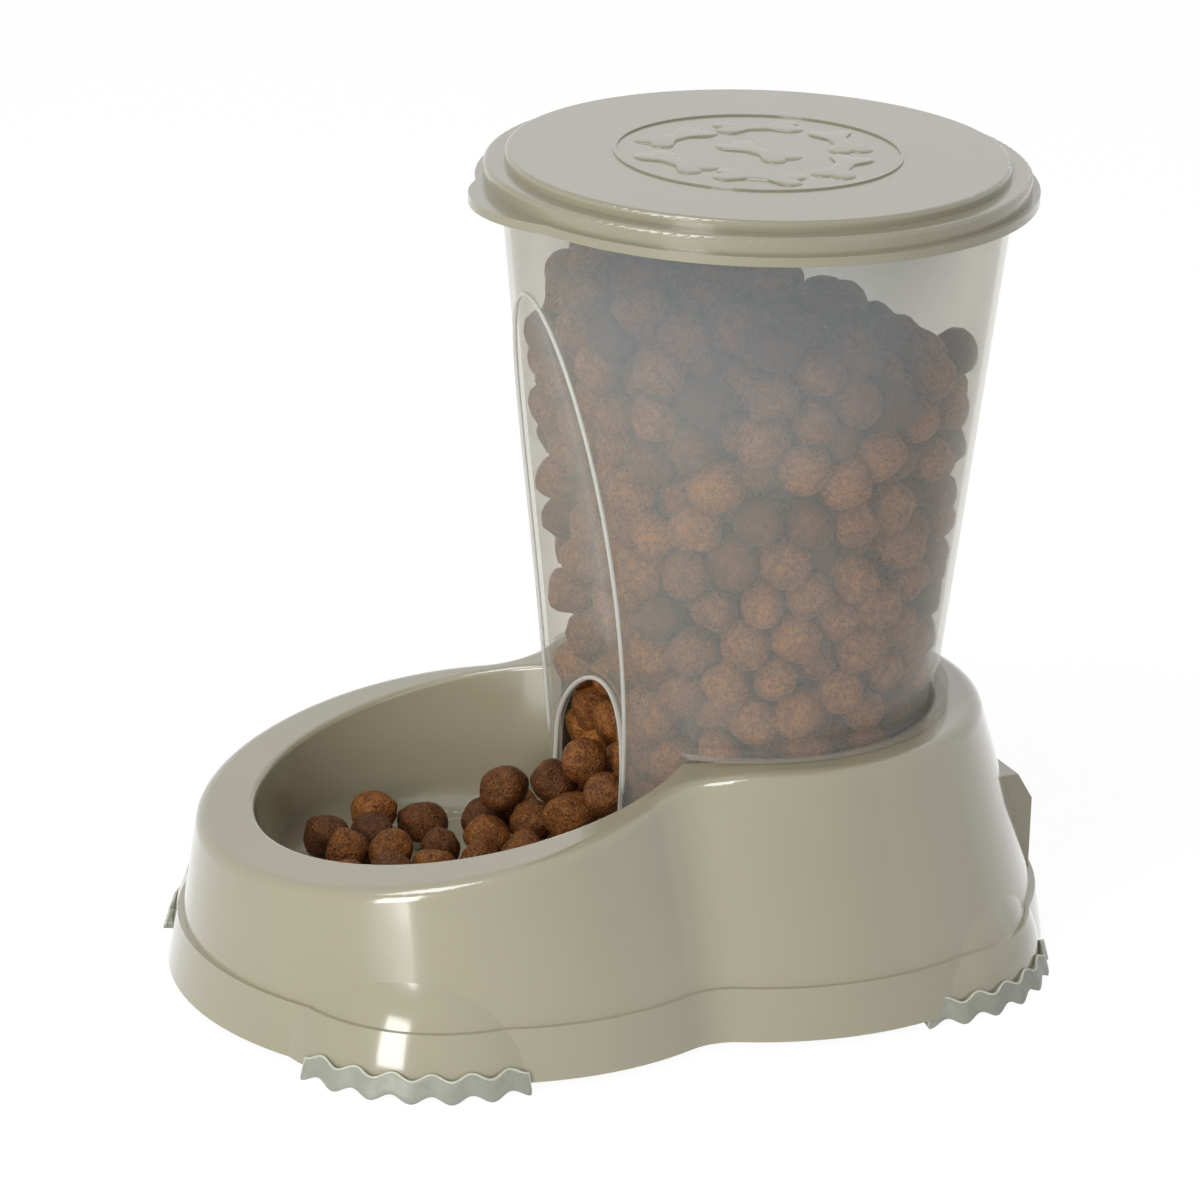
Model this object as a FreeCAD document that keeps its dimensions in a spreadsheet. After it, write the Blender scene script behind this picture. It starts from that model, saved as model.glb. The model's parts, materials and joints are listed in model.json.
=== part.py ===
"""Gravity pet feeder: a moulded base with a bowl, a clear tapered hopper and a snap-on lid.

The model is a parametric document in millimetres. Every driving size is a cell of the
sheet "sizes"; each piece takes its size and place from those cells.

Frame: +Z up from the surface that the rubber grips stand on, -Y towards the bowl, X across.
The feeder is symmetric about the YZ plane. Its plan is two round lobes: the front lobe
carries the bowl, and the rear lobe carries the hopper.
"""
import FreeCAD, Part
import math
import os
import Sketcher
from FreeCAD import Placement, Rotation, Vector

DIMENSIONS = [
    ("lobe_spacing", 89.0, "from the centre of the front lobe to the centre of the rear one"),
    ("shell_wall", 2.4, "wall of the moulded base"),
    ("shell_lift", 3.0, "lower edge of the base above the surface"),
    ("step_height", 19.0, "height of the ledge that runs round the base"),
    ("step_width", 1.6, "width of that ledge"),
    ("deck_height", 79.5, "level deck that the hopper's collar rests on"),
    ("rim_slope", 0.195, "rise of the bowl's rim for each millimetre towards the rear"),
    ("rim_round", 4.5, "rounding of the base's upper outer edge"),
    ("crease_round", 60.0, "easing between the sloping rim and the deck"),
    ("front_foot_radius", 93.5, "front lobe at the lower edge"),
    ("front_step_radius", 89.1, "front lobe above the ledge"),
    ("front_top_radius", 72.5, "front lobe at the deck's height"),
    ("front_top_shift", 9.3, "the front lobe leans this far forward at the deck's height"),
    ("rear_foot_radius", 96.0, "rear lobe at the lower edge"),
    ("rear_step_radius", 91.7, "rear lobe above the ledge"),
    ("rear_top_radius", 73.0, "rear lobe at the deck's height"),
    ("waist_radius", 20.0, "hollow curve between the lobes"),
    ("boss_half_width", 30.0, "half the width of the upright boss at the rear"),
    ("boss_shoulder", 32.0, "height of the boss's upright face"),
    ("boss_top", 50.5, "height where the boss's slope meets the wall"),
    ("boss_out", 0.6, "the boss stands out this far past the top of the step"),
    ("bowl_front_rim", 23.3, "from the base's front end to the bowl's front edge"),
    ("bowl_tuck", 24.3, "the bowl runs this far back under the hopper"),
    ("bowl_floor", 26.0, "height of the bowl's floor"),
    ("bowl_half_width", 62.2, "half the bowl's width where it is measured"),
    ("bowl_gauge_height", 67.0, "height at which the bowl is measured"),
    ("bowl_draft", 0.15, "inward slope of the bowl's wall"),
    ("bowl_corner", 13.0, "rounding between the bowl's wall and floor"),
    ("bowl_lip_round", 1.6, "rounding of the edge where the bowl meets the rim"),
    ("foot_angle", 36.0, "direction of each foot from the X axis, in degrees"),
    ("front_foot_out", 5.8, "how far a front foot stands out from its lobe"),
    ("rear_foot_out", 3.3, "how far a rear foot stands out from its lobe"),
    ("foot_radius", 49.8, "radius of a foot's dome"),
    ("foot_drop", 2.0, "the dome's centre below the surface"),
    ("grip_height", 8.4, "height of a rubber grip"),
    ("grip_band", 1.5, "mean thickness of a grip outside the foot"),
    ("grip_pad", 7.0, "width of a grip under the foot's edge"),
    ("grip_wave", 0.9, "height of the grip's waves to each side of their mean"),
    ("grip_waves", 5.0, "number of waves along a grip"),
    ("grip_half_angle", 45.0, "half the arc of the foot's dome that a grip covers, in degrees"),
    ("hopper_forward", 1.5, "the hopper's axis lies this far in front of the rear lobe's"),
    ("hopper_wall", 1.8, "wall of the hopper"),
    ("hopper_deck_radius", 60.1, "outer radius of the hopper at the deck"),
    ("hopper_taper", 0.1053, "growth of the hopper's radius for each millimetre upwards"),
    ("hopper_top", 245.2, "height of the hopper's mouth"),
    ("lip_width", 2.05, "the hopper's lip stands out this far under the lid"),
    ("lip_height", 3.2, "height of that lip"),
    ("collar_width", 4.5, "the collar stands out this far from the hopper"),
    ("collar_height", 4.0, "height of the collar"),
    ("collar_front", 40.5, "the collar ends this far in front of the hopper's axis"),
    ("sill_lift", 1.5, "lowest point of the hopper above the bowl's floor"),
    ("well_gap", 0.6, "clearance between the hopper and its well"),
    ("seat_gap", 0.3, "clearance under the collar, under the hopper's floor and in the lid"),
    ("scoop_depth", 13.1, "greatest depth of the hopper's front scoop"),
    ("scoop_sweep", 378.0, "radius of the scoop seen from the side"),
    ("scoop_radius", 75.0, "radius of the scoop seen from above"),
    ("scoop_level", 70.0, "height at which the scoop runs upright"),
    ("arch_radius", 24.5, "half the width of the arched outlet"),
    ("arch_centre", 63.0, "height of the arch's centre"),
    ("bead_rise", 0.7, "how far the beads on the hopper stand out"),
    ("bead_width", 1.7, "width of those beads"),
    ("bead_height", 90.0, "height of the bead across the scoop"),
    ("lid_wall", 1.7, "wall of the lid's top"),
    ("lid_gap", 0.4, "clearance between the lid's skirt and the lip"),
    ("lid_skirt_wall", 2.1, "wall of the lid's skirt"),
    ("lid_depth", 7.8, "height of the lid's skirt below its shoulder"),
    ("lid_flange_width", 2.4, "the lid's flange stands out this far"),
    ("lid_flange_height", 2.8, "height of that flange"),
    ("lid_margin", 6.3, "width of the shoulder round the raised panel"),
    ("lid_panel_rise", 3.2, "height of the raised panel above the shoulder"),
    ("tab_out", 6.0, "the finger tab stands out this far from the flange"),
    ("tab_half_width", 31.0, "half the width of the finger tab"),
    ("medallion_radius", 43.5, "radius of the thin ring on the lid"),
    ("medallion_width", 1.0, "width of that ring"),
    ("medallion_rise", 0.5, "height of that ring"),
    ("fill_gap", 0.5, "clearance between the kibble and the hopper"),
    ("fill_level", 234.0, "top of the kibble in the front of the hopper"),
    ("fill_crest", 12.0, "the kibble starts to fall this far in front of the hopper's axis"),
    ("fill_slope", 0.46, "the kibble falls this much for each millimetre behind that"),
    ("kibble_size", 14.4, "width of one kibble"),
    ("kibble_space", 14.6, "distance between kibbles in the bowl"),
]

# Places that several pieces share, as expressions of the sheet.
HALF_LENGTH = "((sizes.front_foot_radius + sizes.lobe_spacing + sizes.rear_foot_radius) / 2)"
FRONT_Y = "(sizes.front_foot_radius - %s)" % HALF_LENGTH
REAR_Y = "(%s - sizes.rear_foot_radius)" % HALF_LENGTH
HOPPER_Y = "(%s - sizes.hopper_forward)" % REAR_Y
SILL_HEIGHT = "(sizes.bowl_floor + sizes.sill_lift)"


def hopper_radius_at(height):
    """Return the expression of the hopper's outer radius at the height that one gives."""
    return ("(sizes.hopper_deck_radius + sizes.hopper_taper * (%s - sizes.deck_height))"
            % height)


SILL_Y = "(%s - %s)" % (HOPPER_Y, hopper_radius_at(SILL_HEIGHT))
FLOOR_SLOPE = ("((sizes.deck_height - %s) / (%s + sizes.hopper_deck_radius - %s))"
               % (SILL_HEIGHT, HOPPER_Y, SILL_Y))
SCOOP_Y = "(%s - %s + sizes.scoop_depth)" % (HOPPER_Y, hopper_radius_at("sizes.scoop_level"))
BOWL_FRONT = "(sizes.bowl_front_rim - %s)" % HALF_LENGTH
BOWL_REAR = "(%s + sizes.bowl_tuck)" % SCOOP_Y
BOWL_Y = "((%s + %s) / 2)" % (BOWL_FRONT, BOWL_REAR)
BOWL_HALF_LENGTH = "((%s - %s) / 2)" % (BOWL_REAR, BOWL_FRONT)
SILL_DROP = "(sizes.scoop_level - %s)" % SILL_HEIGHT
SCOOP_AT_SILL = ("(%s - sizes.scoop_sweep + sqrt(sizes.scoop_sweep ^ 2 - %s ^ 2))"
                 % (SCOOP_Y, SILL_DROP))
LIP_RADIUS = "(%s + sizes.lip_width)" % hopper_radius_at("sizes.hopper_top")
LID_INNER = "(%s + sizes.lid_gap)" % LIP_RADIUS
LID_SIDE = "(%s + sizes.lid_skirt_wall)" % LID_INNER
LID_FLANGE = "(%s + sizes.lid_flange_width)" % LID_SIDE
LID_UNDER = "(sizes.hopper_top + sizes.seat_gap)"
LID_SHOULDER = "(%s + sizes.lid_wall)" % LID_UNDER
LID_BOTTOM = "(%s - sizes.lid_depth)" % LID_SHOULDER
LID_PANEL = "(%s - sizes.lid_margin)" % LID_SIDE
LID_TOP = "(%s + sizes.lid_panel_rise)" % LID_SHOULDER

REACH = 400.0
OVERSHOOT = 20.0
KIBBLE_END = 54.7
KIBBLE_SIDE = 17.0


def make_sheet(doc):
    """Put every driving dimension into a named cell and return the sheet."""
    sheet = doc.addObject("Spreadsheet::Sheet", "sizes")
    for row, (alias, value, note) in enumerate(DIMENSIONS, start=1):
        sheet.set("A%d" % row, alias)
        sheet.set("B%d" % row, str(value))
        sheet.set("C%d" % row, note)
        sheet.setAlias("B%d" % row, alias)
    doc.recompute()
    return sheet


class Feeder:
    """The document, its sheet and the helpers that build the feeder's pieces."""

    def __init__(self):
        """Open the document and fill the sheet."""
        self.doc = FreeCAD.newDocument("feeder")
        self.sheet = make_sheet(self.doc)
        self.pieces = []

    def size(self, alias):
        """Return one driving dimension."""
        return float(self.sheet.get(alias))

    def value(self, expression):
        """Return what an expression of the sheet comes to."""
        return float(self.sheet.evalExpression(expression))

    def bound(self, kind, name, **sizes):
        """Add a Part primitive whose properties follow expressions of the sheet."""
        feature = self.doc.addObject(kind, name)
        for key, expression in sizes.items():
            feature.setExpression(key, expression)
        return feature

    def place(self, feature, axis=None, angle=0.0, **places):
        """Bind the feature's base point to expressions, turned about an axis if one is given."""
        if axis is not None:
            feature.Placement = Placement(Vector(), Rotation(axis, angle))
        for letter, expression in places.items():
            feature.setExpression("Placement.Base." + letter, expression)
        return feature

    def block(self, name, shape):
        """Add a helper object with a shape worked out in this file."""
        feature = self.doc.addObject("Part::Feature", name)
        feature.Shape = shape
        return feature

    def cut(self, name, base, tool):
        """Return base with tool taken away."""
        feature = self.doc.addObject("Part::Cut", name)
        feature.Base = base
        feature.Tool = tool
        return feature

    def common(self, name, base, tool):
        """Return what base and tool share."""
        feature = self.doc.addObject("Part::Common", name)
        feature.Base = base
        feature.Tool = tool
        return feature

    def fuse(self, name, shapes):
        """Return the shapes joined into one."""
        feature = self.doc.addObject("Part::MultiFuse", name)
        feature.Shapes = shapes
        return feature

    def piece(self, feature, label):
        """Name a finished piece of the feeder after its node."""
        feature.Label = label
        self.pieces.append(feature)
        return feature


# Outlines and solids of the moulded base.

def line_face(edges, across):
    """Return the solid that a closed outline in the YZ plane sweeps along X."""
    return Part.Face(Part.Wire(edges)).extrude(Vector(across, 0, 0))


def lobed_wire(front, rear, waist, height):
    """Return the plan outline of two round lobes joined by hollow arcs.

    front and rear are (centre y, radius); waist is the radius of the hollow arcs. A hollow
    arc touches both lobes, so its centre lies one lobe radius plus its own from each.
    """
    (front_y, front_r), (rear_y, rear_r) = front, rear
    span = rear_y - front_y
    to_front = front_r + waist
    to_rear = rear_r + waist
    along = (to_front ** 2 - to_rear ** 2 + span ** 2) / (2 * span)
    out = math.sqrt(to_front ** 2 - along ** 2)
    hollow = Vector(out, front_y + along, height)
    front_centre = Vector(0, front_y, height)
    rear_centre = Vector(0, rear_y, height)
    front_touch = front_centre + (hollow - front_centre) * (front_r / to_front)
    rear_touch = rear_centre + (hollow - rear_centre) * (rear_r / to_rear)
    middle = hollow + ((front_touch + rear_touch) * 0.5 - hollow).normalize() * waist

    def mirrored(point):
        return Vector(-point.x, point.y, point.z)

    arcs = [
        Part.Arc(mirrored(front_touch), Vector(0, front_y - front_r, height), front_touch),
        Part.Arc(front_touch, middle, rear_touch),
        Part.Arc(rear_touch, Vector(0, rear_y + rear_r, height), mirrored(rear_touch)),
        Part.Arc(mirrored(rear_touch), mirrored(middle), mirrored(front_touch)),
    ]
    return Part.Wire([arc.toShape() for arc in arcs])


def between(value_low, value_high, low, high, height):
    """Return the value at height on the straight line through two known ones."""
    return value_low + (value_high - value_low) * (height - low) / (high - low)


def plinth_wire(feeder, inset, height):
    """Return the plan outline below the ledge at a height, drawn in by inset."""
    size = feeder.size
    lift, step, width = size("shell_lift"), size("step_height"), size("step_width")
    front = between(size("front_foot_radius"), size("front_step_radius") + width,
                    lift, step, height)
    rear = between(size("rear_foot_radius"), size("rear_step_radius") + width,
                   lift, step, height)
    return lobed_wire((feeder.value(FRONT_Y), front - inset),
                      (feeder.value(REAR_Y), rear - inset), size("waist_radius") + inset, height)


def wall_wire(feeder, inset, height):
    """Return the plan outline above the ledge at a height, drawn in by inset."""
    size = feeder.size
    step, deck = size("step_height"), size("deck_height")
    front = between(size("front_step_radius"), size("front_top_radius"), step, deck, height)
    rear = between(size("rear_step_radius"), size("rear_top_radius"), step, deck, height)
    lean = between(0.0, size("front_top_shift"), step, deck, height)
    return lobed_wire((feeder.value(FRONT_Y) - lean, front - inset),
                      (feeder.value(REAR_Y), rear - inset), size("waist_radius") + inset, height)


def slab(low, high):
    """Return a wide block between two heights."""
    return Part.makeBox(2 * REACH, 2 * REACH, high - low, Vector(-REACH, -REACH, low))


def foot_centres(feeder):
    """Return each foot's grip name, the centre of its dome and its lobe's centre in Y."""
    size = feeder.size
    angle = math.radians(size("foot_angle"))
    places = []
    for end, lobe, turn in (("front", FRONT_Y, -1), ("rear", REAR_Y, 1)):
        lobe_y = feeder.value(lobe)
        distance = size(end + "_foot_radius") + size(end + "_foot_out") - size("foot_radius")
        across, along = distance * math.cos(angle), distance * math.sin(angle)
        for side, sign in (("left", -1), ("right", 1)):
            centre = Vector(sign * across, lobe_y + turn * along, -size("foot_drop"))
            places.append(("%s_%s_grip" % (end, side), centre, lobe_y))
    return places


def space_above(feeder, drop):
    """Return the space above the base: over the sloping rim, the easing and the deck."""
    size = feeder.size
    deck = size("deck_height") - drop
    slope = size("rim_slope")
    meets = feeder.value(BOWL_Y) + (size("deck_height") - size("bowl_gauge_height")) / slope
    turn = math.atan(slope)
    reach = size("crease_round") * math.tan(turn / 2)
    middle = size("crease_round") * (1 / math.cos(turn / 2) - 1)

    def point(y, z):
        return Vector(-REACH, y, z)

    front = point(-REACH, deck + slope * (-REACH - meets))
    begins = point(meets - reach * math.cos(turn), deck - reach * math.sin(turn))
    eased = point(meets + middle * math.sin(turn / 2), deck - middle * math.cos(turn / 2))
    ends = point(meets + reach, deck)
    rear, above_rear, above_front = point(REACH, deck), point(REACH, REACH), point(-REACH, REACH)
    edges = [Part.makeLine(front, begins), Part.Arc(begins, eased, ends).toShape(),
             Part.makeLine(ends, rear), Part.makeLine(rear, above_rear),
             Part.makeLine(above_rear, above_front), Part.makeLine(above_front, front)]
    return line_face(edges, 2 * REACH)


def rear_boss(feeder, inset):
    """Return the upright boss in the middle of the rear wall, with its sloping top."""
    size = feeder.size
    radius = size("rear_step_radius") + size("boss_out") - inset
    rear = feeder.value(REAR_Y)
    top, step = size("boss_top"), size("step_height")
    wall = between(size("rear_step_radius"), size("rear_top_radius"), step,
                   size("deck_height"), top) - inset
    half = size("boss_half_width") - inset

    def point(y, z):
        return Vector(-half, y, z)

    corners = [point(rear, step - inset), point(rear + radius + 1, step - inset),
               point(rear + radius + 1, size("boss_shoulder") - inset),
               point(rear + wall, top - inset), point(rear, top - inset)]
    edges = [Part.makeLine(first, second) for first, second in zip(corners, corners[1:])]
    edges.append(Part.makeLine(corners[-1], corners[0]))
    column = Part.makeCylinder(radius, top, Vector(0, rear, 0))
    return line_face(edges, 2 * half).common(column)


def base_solid(feeder, inset):
    """Return the base without hollows, drawn in by inset everywhere."""
    size = feeder.size
    low, step = size("shell_lift") - inset, size("step_height") - inset
    high = size("deck_height") + 6.0
    plinth = Part.makeLoft([plinth_wire(feeder, inset, low), plinth_wire(feeder, inset, step)],
                           True, True)
    upper = Part.makeLoft([wall_wire(feeder, inset, step), wall_wire(feeder, inset, high)],
                          True, True)
    radius = size("foot_radius") - inset
    wide, narrow = [], []
    for name, centre, lobe_y in foot_centres(feeder):
        wide.append(Part.makeSphere(radius + size("step_width"), centre).common(slab(low, step)))
        narrow.append(Part.makeSphere(radius, centre).common(slab(step, high)))
    upper = upper.fuse(narrow + [rear_boss(feeder, inset)])
    upper = upper.cut(space_above(feeder, inset))
    if inset == 0.0:
        upper = rounded_rim(feeder, upper)
    return upper.fuse([plinth] + wide)


def rounded_rim(feeder, body):
    """Round the upper outer edge, all the way round the rim and the deck."""
    top = space_above(feeder, 0.0)
    rim = []
    for edge in body.Edges:
        first, last = edge.ParameterRange
        points = [edge.valueAt(first + share * (last - first)) for share in (0.15, 0.5, 0.85)]
        level = edge.BoundBox.YLength < 0.01
        touches = all(top.distToShape(Part.Vertex(point))[0] < 0.01 for point in points)
        if touches and not level:
            rim.append(edge)
    return body.makeFillet(feeder.size("rim_round"), rim)


def bowl_solid(feeder, grow):
    """Return the bowl's hollow as a solid, grown by grow: an oval with a rounded floor."""
    size = feeder.size
    low = size("bowl_floor") - grow
    high = size("deck_height") + OVERSHOOT
    half_length = feeder.value(BOWL_HALF_LENGTH)
    wires = []
    for height in (low, high):
        change = size("bowl_draft") * (height - size("bowl_gauge_height")) + grow
        centre = Vector(0, feeder.value(BOWL_Y), height)
        oval = Part.Ellipse(centre + Vector(0, half_length + change, 0),
                            centre + Vector(size("bowl_half_width") + change, 0, 0), centre)
        wires.append(Part.Wire(oval.toShape()))
    block = Part.makeLoft(wires, True, True)
    floor_edges = [edge for edge in block.Edges if edge.BoundBox.ZMax < low + 0.01]
    return block.makeFillet(size("bowl_corner") + grow, floor_edges)


# The hopper's forms, which its well and its fill share.

def cup(feeder, name, grow, lift, top):
    """Add the hopper's outline as a cone above a sloping floor, grown and lifted.

    grow, lift and top are expressions: the growth of the radius, the rise of the floor and
    the height of the open end.
    """
    low = "(%s - %g)" % (SILL_HEIGHT, OVERSHOOT)
    cone = feeder.bound("Part::Cone", name + "_cone",
                        Radius1="%s + %s" % (hopper_radius_at(low), grow),
                        Radius2="%s + %s" % (hopper_radius_at(top), grow),
                        Height="%s - %s" % (top, low))
    feeder.place(cone, y=HOPPER_Y, z=low)
    front = "(%s - 60)" % SILL_Y
    rear = "(%s + sizes.rear_foot_radius)" % REAR_Y
    under = feeder.bound("Part::Wedge", name + "_under", Ymin=front, Ymax=rear,
                         Zmax="%s + %s * (%s - %s) + %s" % (SILL_HEIGHT, FLOOR_SLOPE, front,
                                                            SILL_Y, lift),
                         Z2max="%s + %s * (%s - %s) + %s" % (SILL_HEIGHT, FLOOR_SLOPE, rear,
                                                             SILL_Y, lift))
    under.Xmin = under.X2min = -REACH
    under.Xmax = under.X2max = REACH
    under.Zmin = under.Z2min = -REACH
    return feeder.cut(name, cone, under)


def scoop(feeder, name, grow):
    """Add the ring whose outside hollows the hopper's front, its tube grown by grow."""
    ring = feeder.bound("Part::Torus", name, Radius1="sizes.scoop_sweep - sizes.scoop_radius",
                        Radius2="sizes.scoop_radius + %s" % grow)
    return feeder.place(ring, axis=Vector(0, 1, 0), angle=90.0,
                        y="%s - sizes.scoop_sweep" % SCOOP_Y, z="sizes.scoop_level")


def arch(feeder, name, grow):
    """Add the arched outlet as a block through the hopper's front, grown by grow."""
    low, depth = "(%s - %g)" % (SILL_HEIGHT, OVERSHOOT), "(2 * sizes.arch_radius)"
    column = feeder.bound("Part::Box", name + "_column",
                          Length="2 * (sizes.arch_radius + %s)" % grow, Width=depth,
                          Height="sizes.arch_centre - %s" % low)
    feeder.place(column, x="-(sizes.arch_radius + %s)" % grow,
                 y="%s - sizes.arch_radius" % SCOOP_Y, z=low)
    crown = feeder.bound("Part::Cylinder", name + "_crown",
                         Radius="sizes.arch_radius + %s" % grow, Height=depth)
    feeder.place(crown, axis=Vector(1, 0, 0), angle=-90.0,
                 y="%s - sizes.arch_radius" % SCOOP_Y, z="sizes.arch_centre")
    return feeder.fuse(name, [column, crown])


def floor_rise(wall):
    """Return the upright rise that keeps a wall's thickness at right angles to the floor."""
    return "(%s * sqrt(1 + %s ^ 2))" % (wall, FLOOR_SLOPE)


# The pieces.

def make_base(feeder):
    """Build the base: an outer shell open below, lined by the bowl and the hopper's well."""
    wall = feeder.size("shell_wall")
    solid = feeder.block("base_solid", base_solid(feeder, 0.0))
    core = feeder.block("base_core", base_solid(feeder, wall))
    bowl = feeder.block("bowl_hollow", bowl_solid(feeder, 0.0))
    bowl_outside = feeder.block("bowl_outside", bowl_solid(feeder, wall))
    top = "(sizes.deck_height + 6)"
    drop = "(-sizes.seat_gap - sizes.well_gap)"
    well = cup(feeder, "well", "sizes.well_gap", drop, top)
    well_outside = cup(feeder, "well_outside", "(sizes.well_gap + sizes.shell_wall)",
                       "(%s - %s)" % (drop, floor_rise("sizes.shell_wall")), top)
    hollow = feeder.fuse("hollows", [bowl, well])
    lining = feeder.fuse("lining", [bowl_outside, well_outside])
    shell = feeder.cut("outer_shell", solid, core)
    kept = feeder.common("lining_inside", lining, solid)
    joined = feeder.fuse("shell_and_lining", [shell, kept])
    opened = feeder.cut("base", joined, hollow)
    opened.Refine = True
    feeder.doc.recompute()
    return feeder.piece(feeder.block("base_rounded", rounded_lip(feeder, opened.Shape)),
                        "base_shell")


def rounded_lip(feeder, body):
    """Round the edge where the bowl's wall meets the rim."""
    top, bowl = space_above(feeder, 0.0), bowl_solid(feeder, 0.0)
    lip = []
    for edge in body.Edges:
        first, last = edge.ParameterRange
        points = [edge.valueAt(first + share * (last - first)) for share in (0.15, 0.5, 0.85)]
        on_rim = all(top.distToShape(Part.Vertex(point))[0] < 0.01 for point in points)
        on_bowl = all(bowl.Shells[0].distToShape(Part.Vertex(point))[0] < 0.01
                      for point in points)
        if on_rim and on_bowl:
            lip.append(edge)
    return body.makeFillet(feeder.size("bowl_lip_round"), lip)


def make_grip(feeder, label, centre, lobe_y):
    """Build one soft grip: a scalloped band that wraps the foot of a dome.

    The outer edge follows the dome's circle in waves, drawn as arcs through the crests and
    the troughs. The band stands outside the dome, and a pad lies under its lower edge.
    """
    size = feeder.size
    lift, high = size("shell_lift"), size("grip_height")
    mean = size("foot_radius") + size("step_width") + size("grip_band")
    inner = size("foot_radius") - size("grip_pad")
    wave = size("grip_wave")
    steps = 4 * int(round(size("grip_waves")))
    half = math.radians(size("grip_half_angle"))
    outward = math.atan2(centre.y - lobe_y, centre.x)

    def point(index, radius):
        angle = outward - half + 2 * half * index / steps
        return Vector(centre.x + radius * math.cos(angle), centre.y + radius * math.sin(angle), 0)

    def edge_radius(index):
        return mean + wave * math.sin(index * math.pi / 2)

    outline = []
    for index in range(0, steps, 2):
        stops = [point(place, edge_radius(place)) for place in (index, index + 1, index + 2)]
        outline.append(Part.Arc(*stops).toShape())
    outline.append(Part.makeLine(point(steps, mean), point(steps, inner)))
    outline.append(Part.Arc(point(steps, inner), point(steps // 2, inner),
                            point(0, inner)).toShape())
    outline.append(Part.makeLine(point(0, inner), point(0, mean)))
    band = Part.Face(Part.Wire(outline)).extrude(Vector(0, 0, high))
    return feeder.piece(feeder.block(label, band.cut(base_solid(feeder, 0.0))), label)


def make_hopper(feeder):
    """Build the clear hopper: a tapered cup with a scooped front, an arch and a collar."""
    top, wall = "sizes.hopper_top", "sizes.hopper_wall"
    outer = cup(feeder, "hopper_outer", "0", "0", top)
    hollow = cup(feeder, "hopper_inner", "-sizes.hopper_wall", floor_rise(wall),
                 "(sizes.hopper_top + 5)")
    outside = feeder.cut("hopper_outside", outer, scoop(feeder, "scoop_outer", "0"))
    inside = feeder.cut("hopper_inside", hollow, scoop(feeder, "scoop_inner", wall))
    lip = feeder.bound("Part::Cylinder", "lip", Radius=LIP_RADIUS, Height="sizes.lip_height")
    feeder.place(lip, y=HOPPER_Y, z="sizes.hopper_top - sizes.lip_height")
    disc = feeder.bound("Part::Cylinder", "collar_disc", Height="sizes.collar_height",
                        Radius="sizes.hopper_deck_radius + sizes.collar_width")
    feeder.place(disc, y=HOPPER_Y, z="sizes.deck_height + sizes.seat_gap")
    ahead = feeder.bound("Part::Box", "collar_ahead", Height="2 * sizes.deck_height")
    ahead.Length, ahead.Width = 2 * REACH, REACH
    ahead.Placement = Placement(Vector(-REACH, 0, 0), Rotation())
    feeder.place(ahead, y="%s - sizes.collar_front - %g" % (HOPPER_Y, REACH))
    collar = feeder.cut("collar", disc, ahead)
    cup_parts = [outside, lip, collar] + hopper_beads(feeder)
    hollowed = feeder.cut("hopper_hollowed", feeder.fuse("hopper_joined", cup_parts), inside)
    floor = cup(feeder, "floor_inside", "20", floor_rise(wall), top)
    outlet = feeder.common("outlet", arch(feeder, "arch", "0"), floor)
    hopper = feeder.cut("hopper_cup", hollowed, outlet)
    hopper.Refine = True
    return feeder.piece(hopper, "hopper")


def hopper_beads(feeder):
    """Add the thin beads that edge the arch and cross the scoop above it."""
    raised = feeder.cut("raised_skin", cup(feeder, "raised", "0", "0", "sizes.hopper_top"),
                        scoop(feeder, "scoop_raised", "-sizes.bead_rise"))
    floor = cup(feeder, "bead_floor", "20", floor_rise("sizes.hopper_wall"), "sizes.hopper_top")
    hoop = feeder.cut("hoop", arch(feeder, "arch_outer", "sizes.bead_width"),
                      arch(feeder, "arch_inner", "0"))
    hoop_above = feeder.common("hoop_above", hoop, floor)
    line = feeder.bound("Part::Box", "bead_level", Height="sizes.bead_width")
    line.Length = line.Width = 2 * REACH
    line.Placement = Placement(Vector(-REACH, -REACH, 0), Rotation())
    feeder.place(line, z="sizes.bead_height")
    return [feeder.common("arch_bead", raised, hoop_above),
            feeder.common("scoop_bead", raised, line)]


def profile_sketch(feeder, body, name, corners):
    """Draw a closed profile on the body's XZ plane, each corner bound to the sheet.

    corners is a list of (radius, height) expressions. A radius of None lies on the axis.
    """
    sketch = body.newObject("Sketcher::SketchObject", name)
    plane = [item for item in body.Origin.OriginFeatures if item.Role == "XZ_Plane"][0]
    sketch.AttachmentSupport = [(plane, "")]
    sketch.MapMode = "FlatFace"
    places = []
    for across, up in corners:
        places.append(Vector(0.0 if across is None else feeder.value(across),
                             feeder.value(up), 0))
    count = len(places)
    for index in range(count):
        sketch.addGeometry(Part.LineSegment(places[index], places[(index + 1) % count]), False)
    for index in range(count):
        sketch.addConstraint(Sketcher.Constraint("Coincident", index, 2, (index + 1) % count, 1))
    for index, (across, up) in enumerate(corners):
        if across is None:
            sketch.addConstraint(Sketcher.Constraint("PointOnObject", index, 1, -2))
        else:
            number = sketch.addConstraint(
                Sketcher.Constraint("DistanceX", -1, 1, index, 1, places[index].x))
            sketch.setExpression("Constraints[%d]" % number, across)
        number = sketch.addConstraint(
            Sketcher.Constraint("DistanceY", -1, 1, index, 1, places[index].y))
        sketch.setExpression("Constraints[%d]" % number, up)
    return sketch


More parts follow.
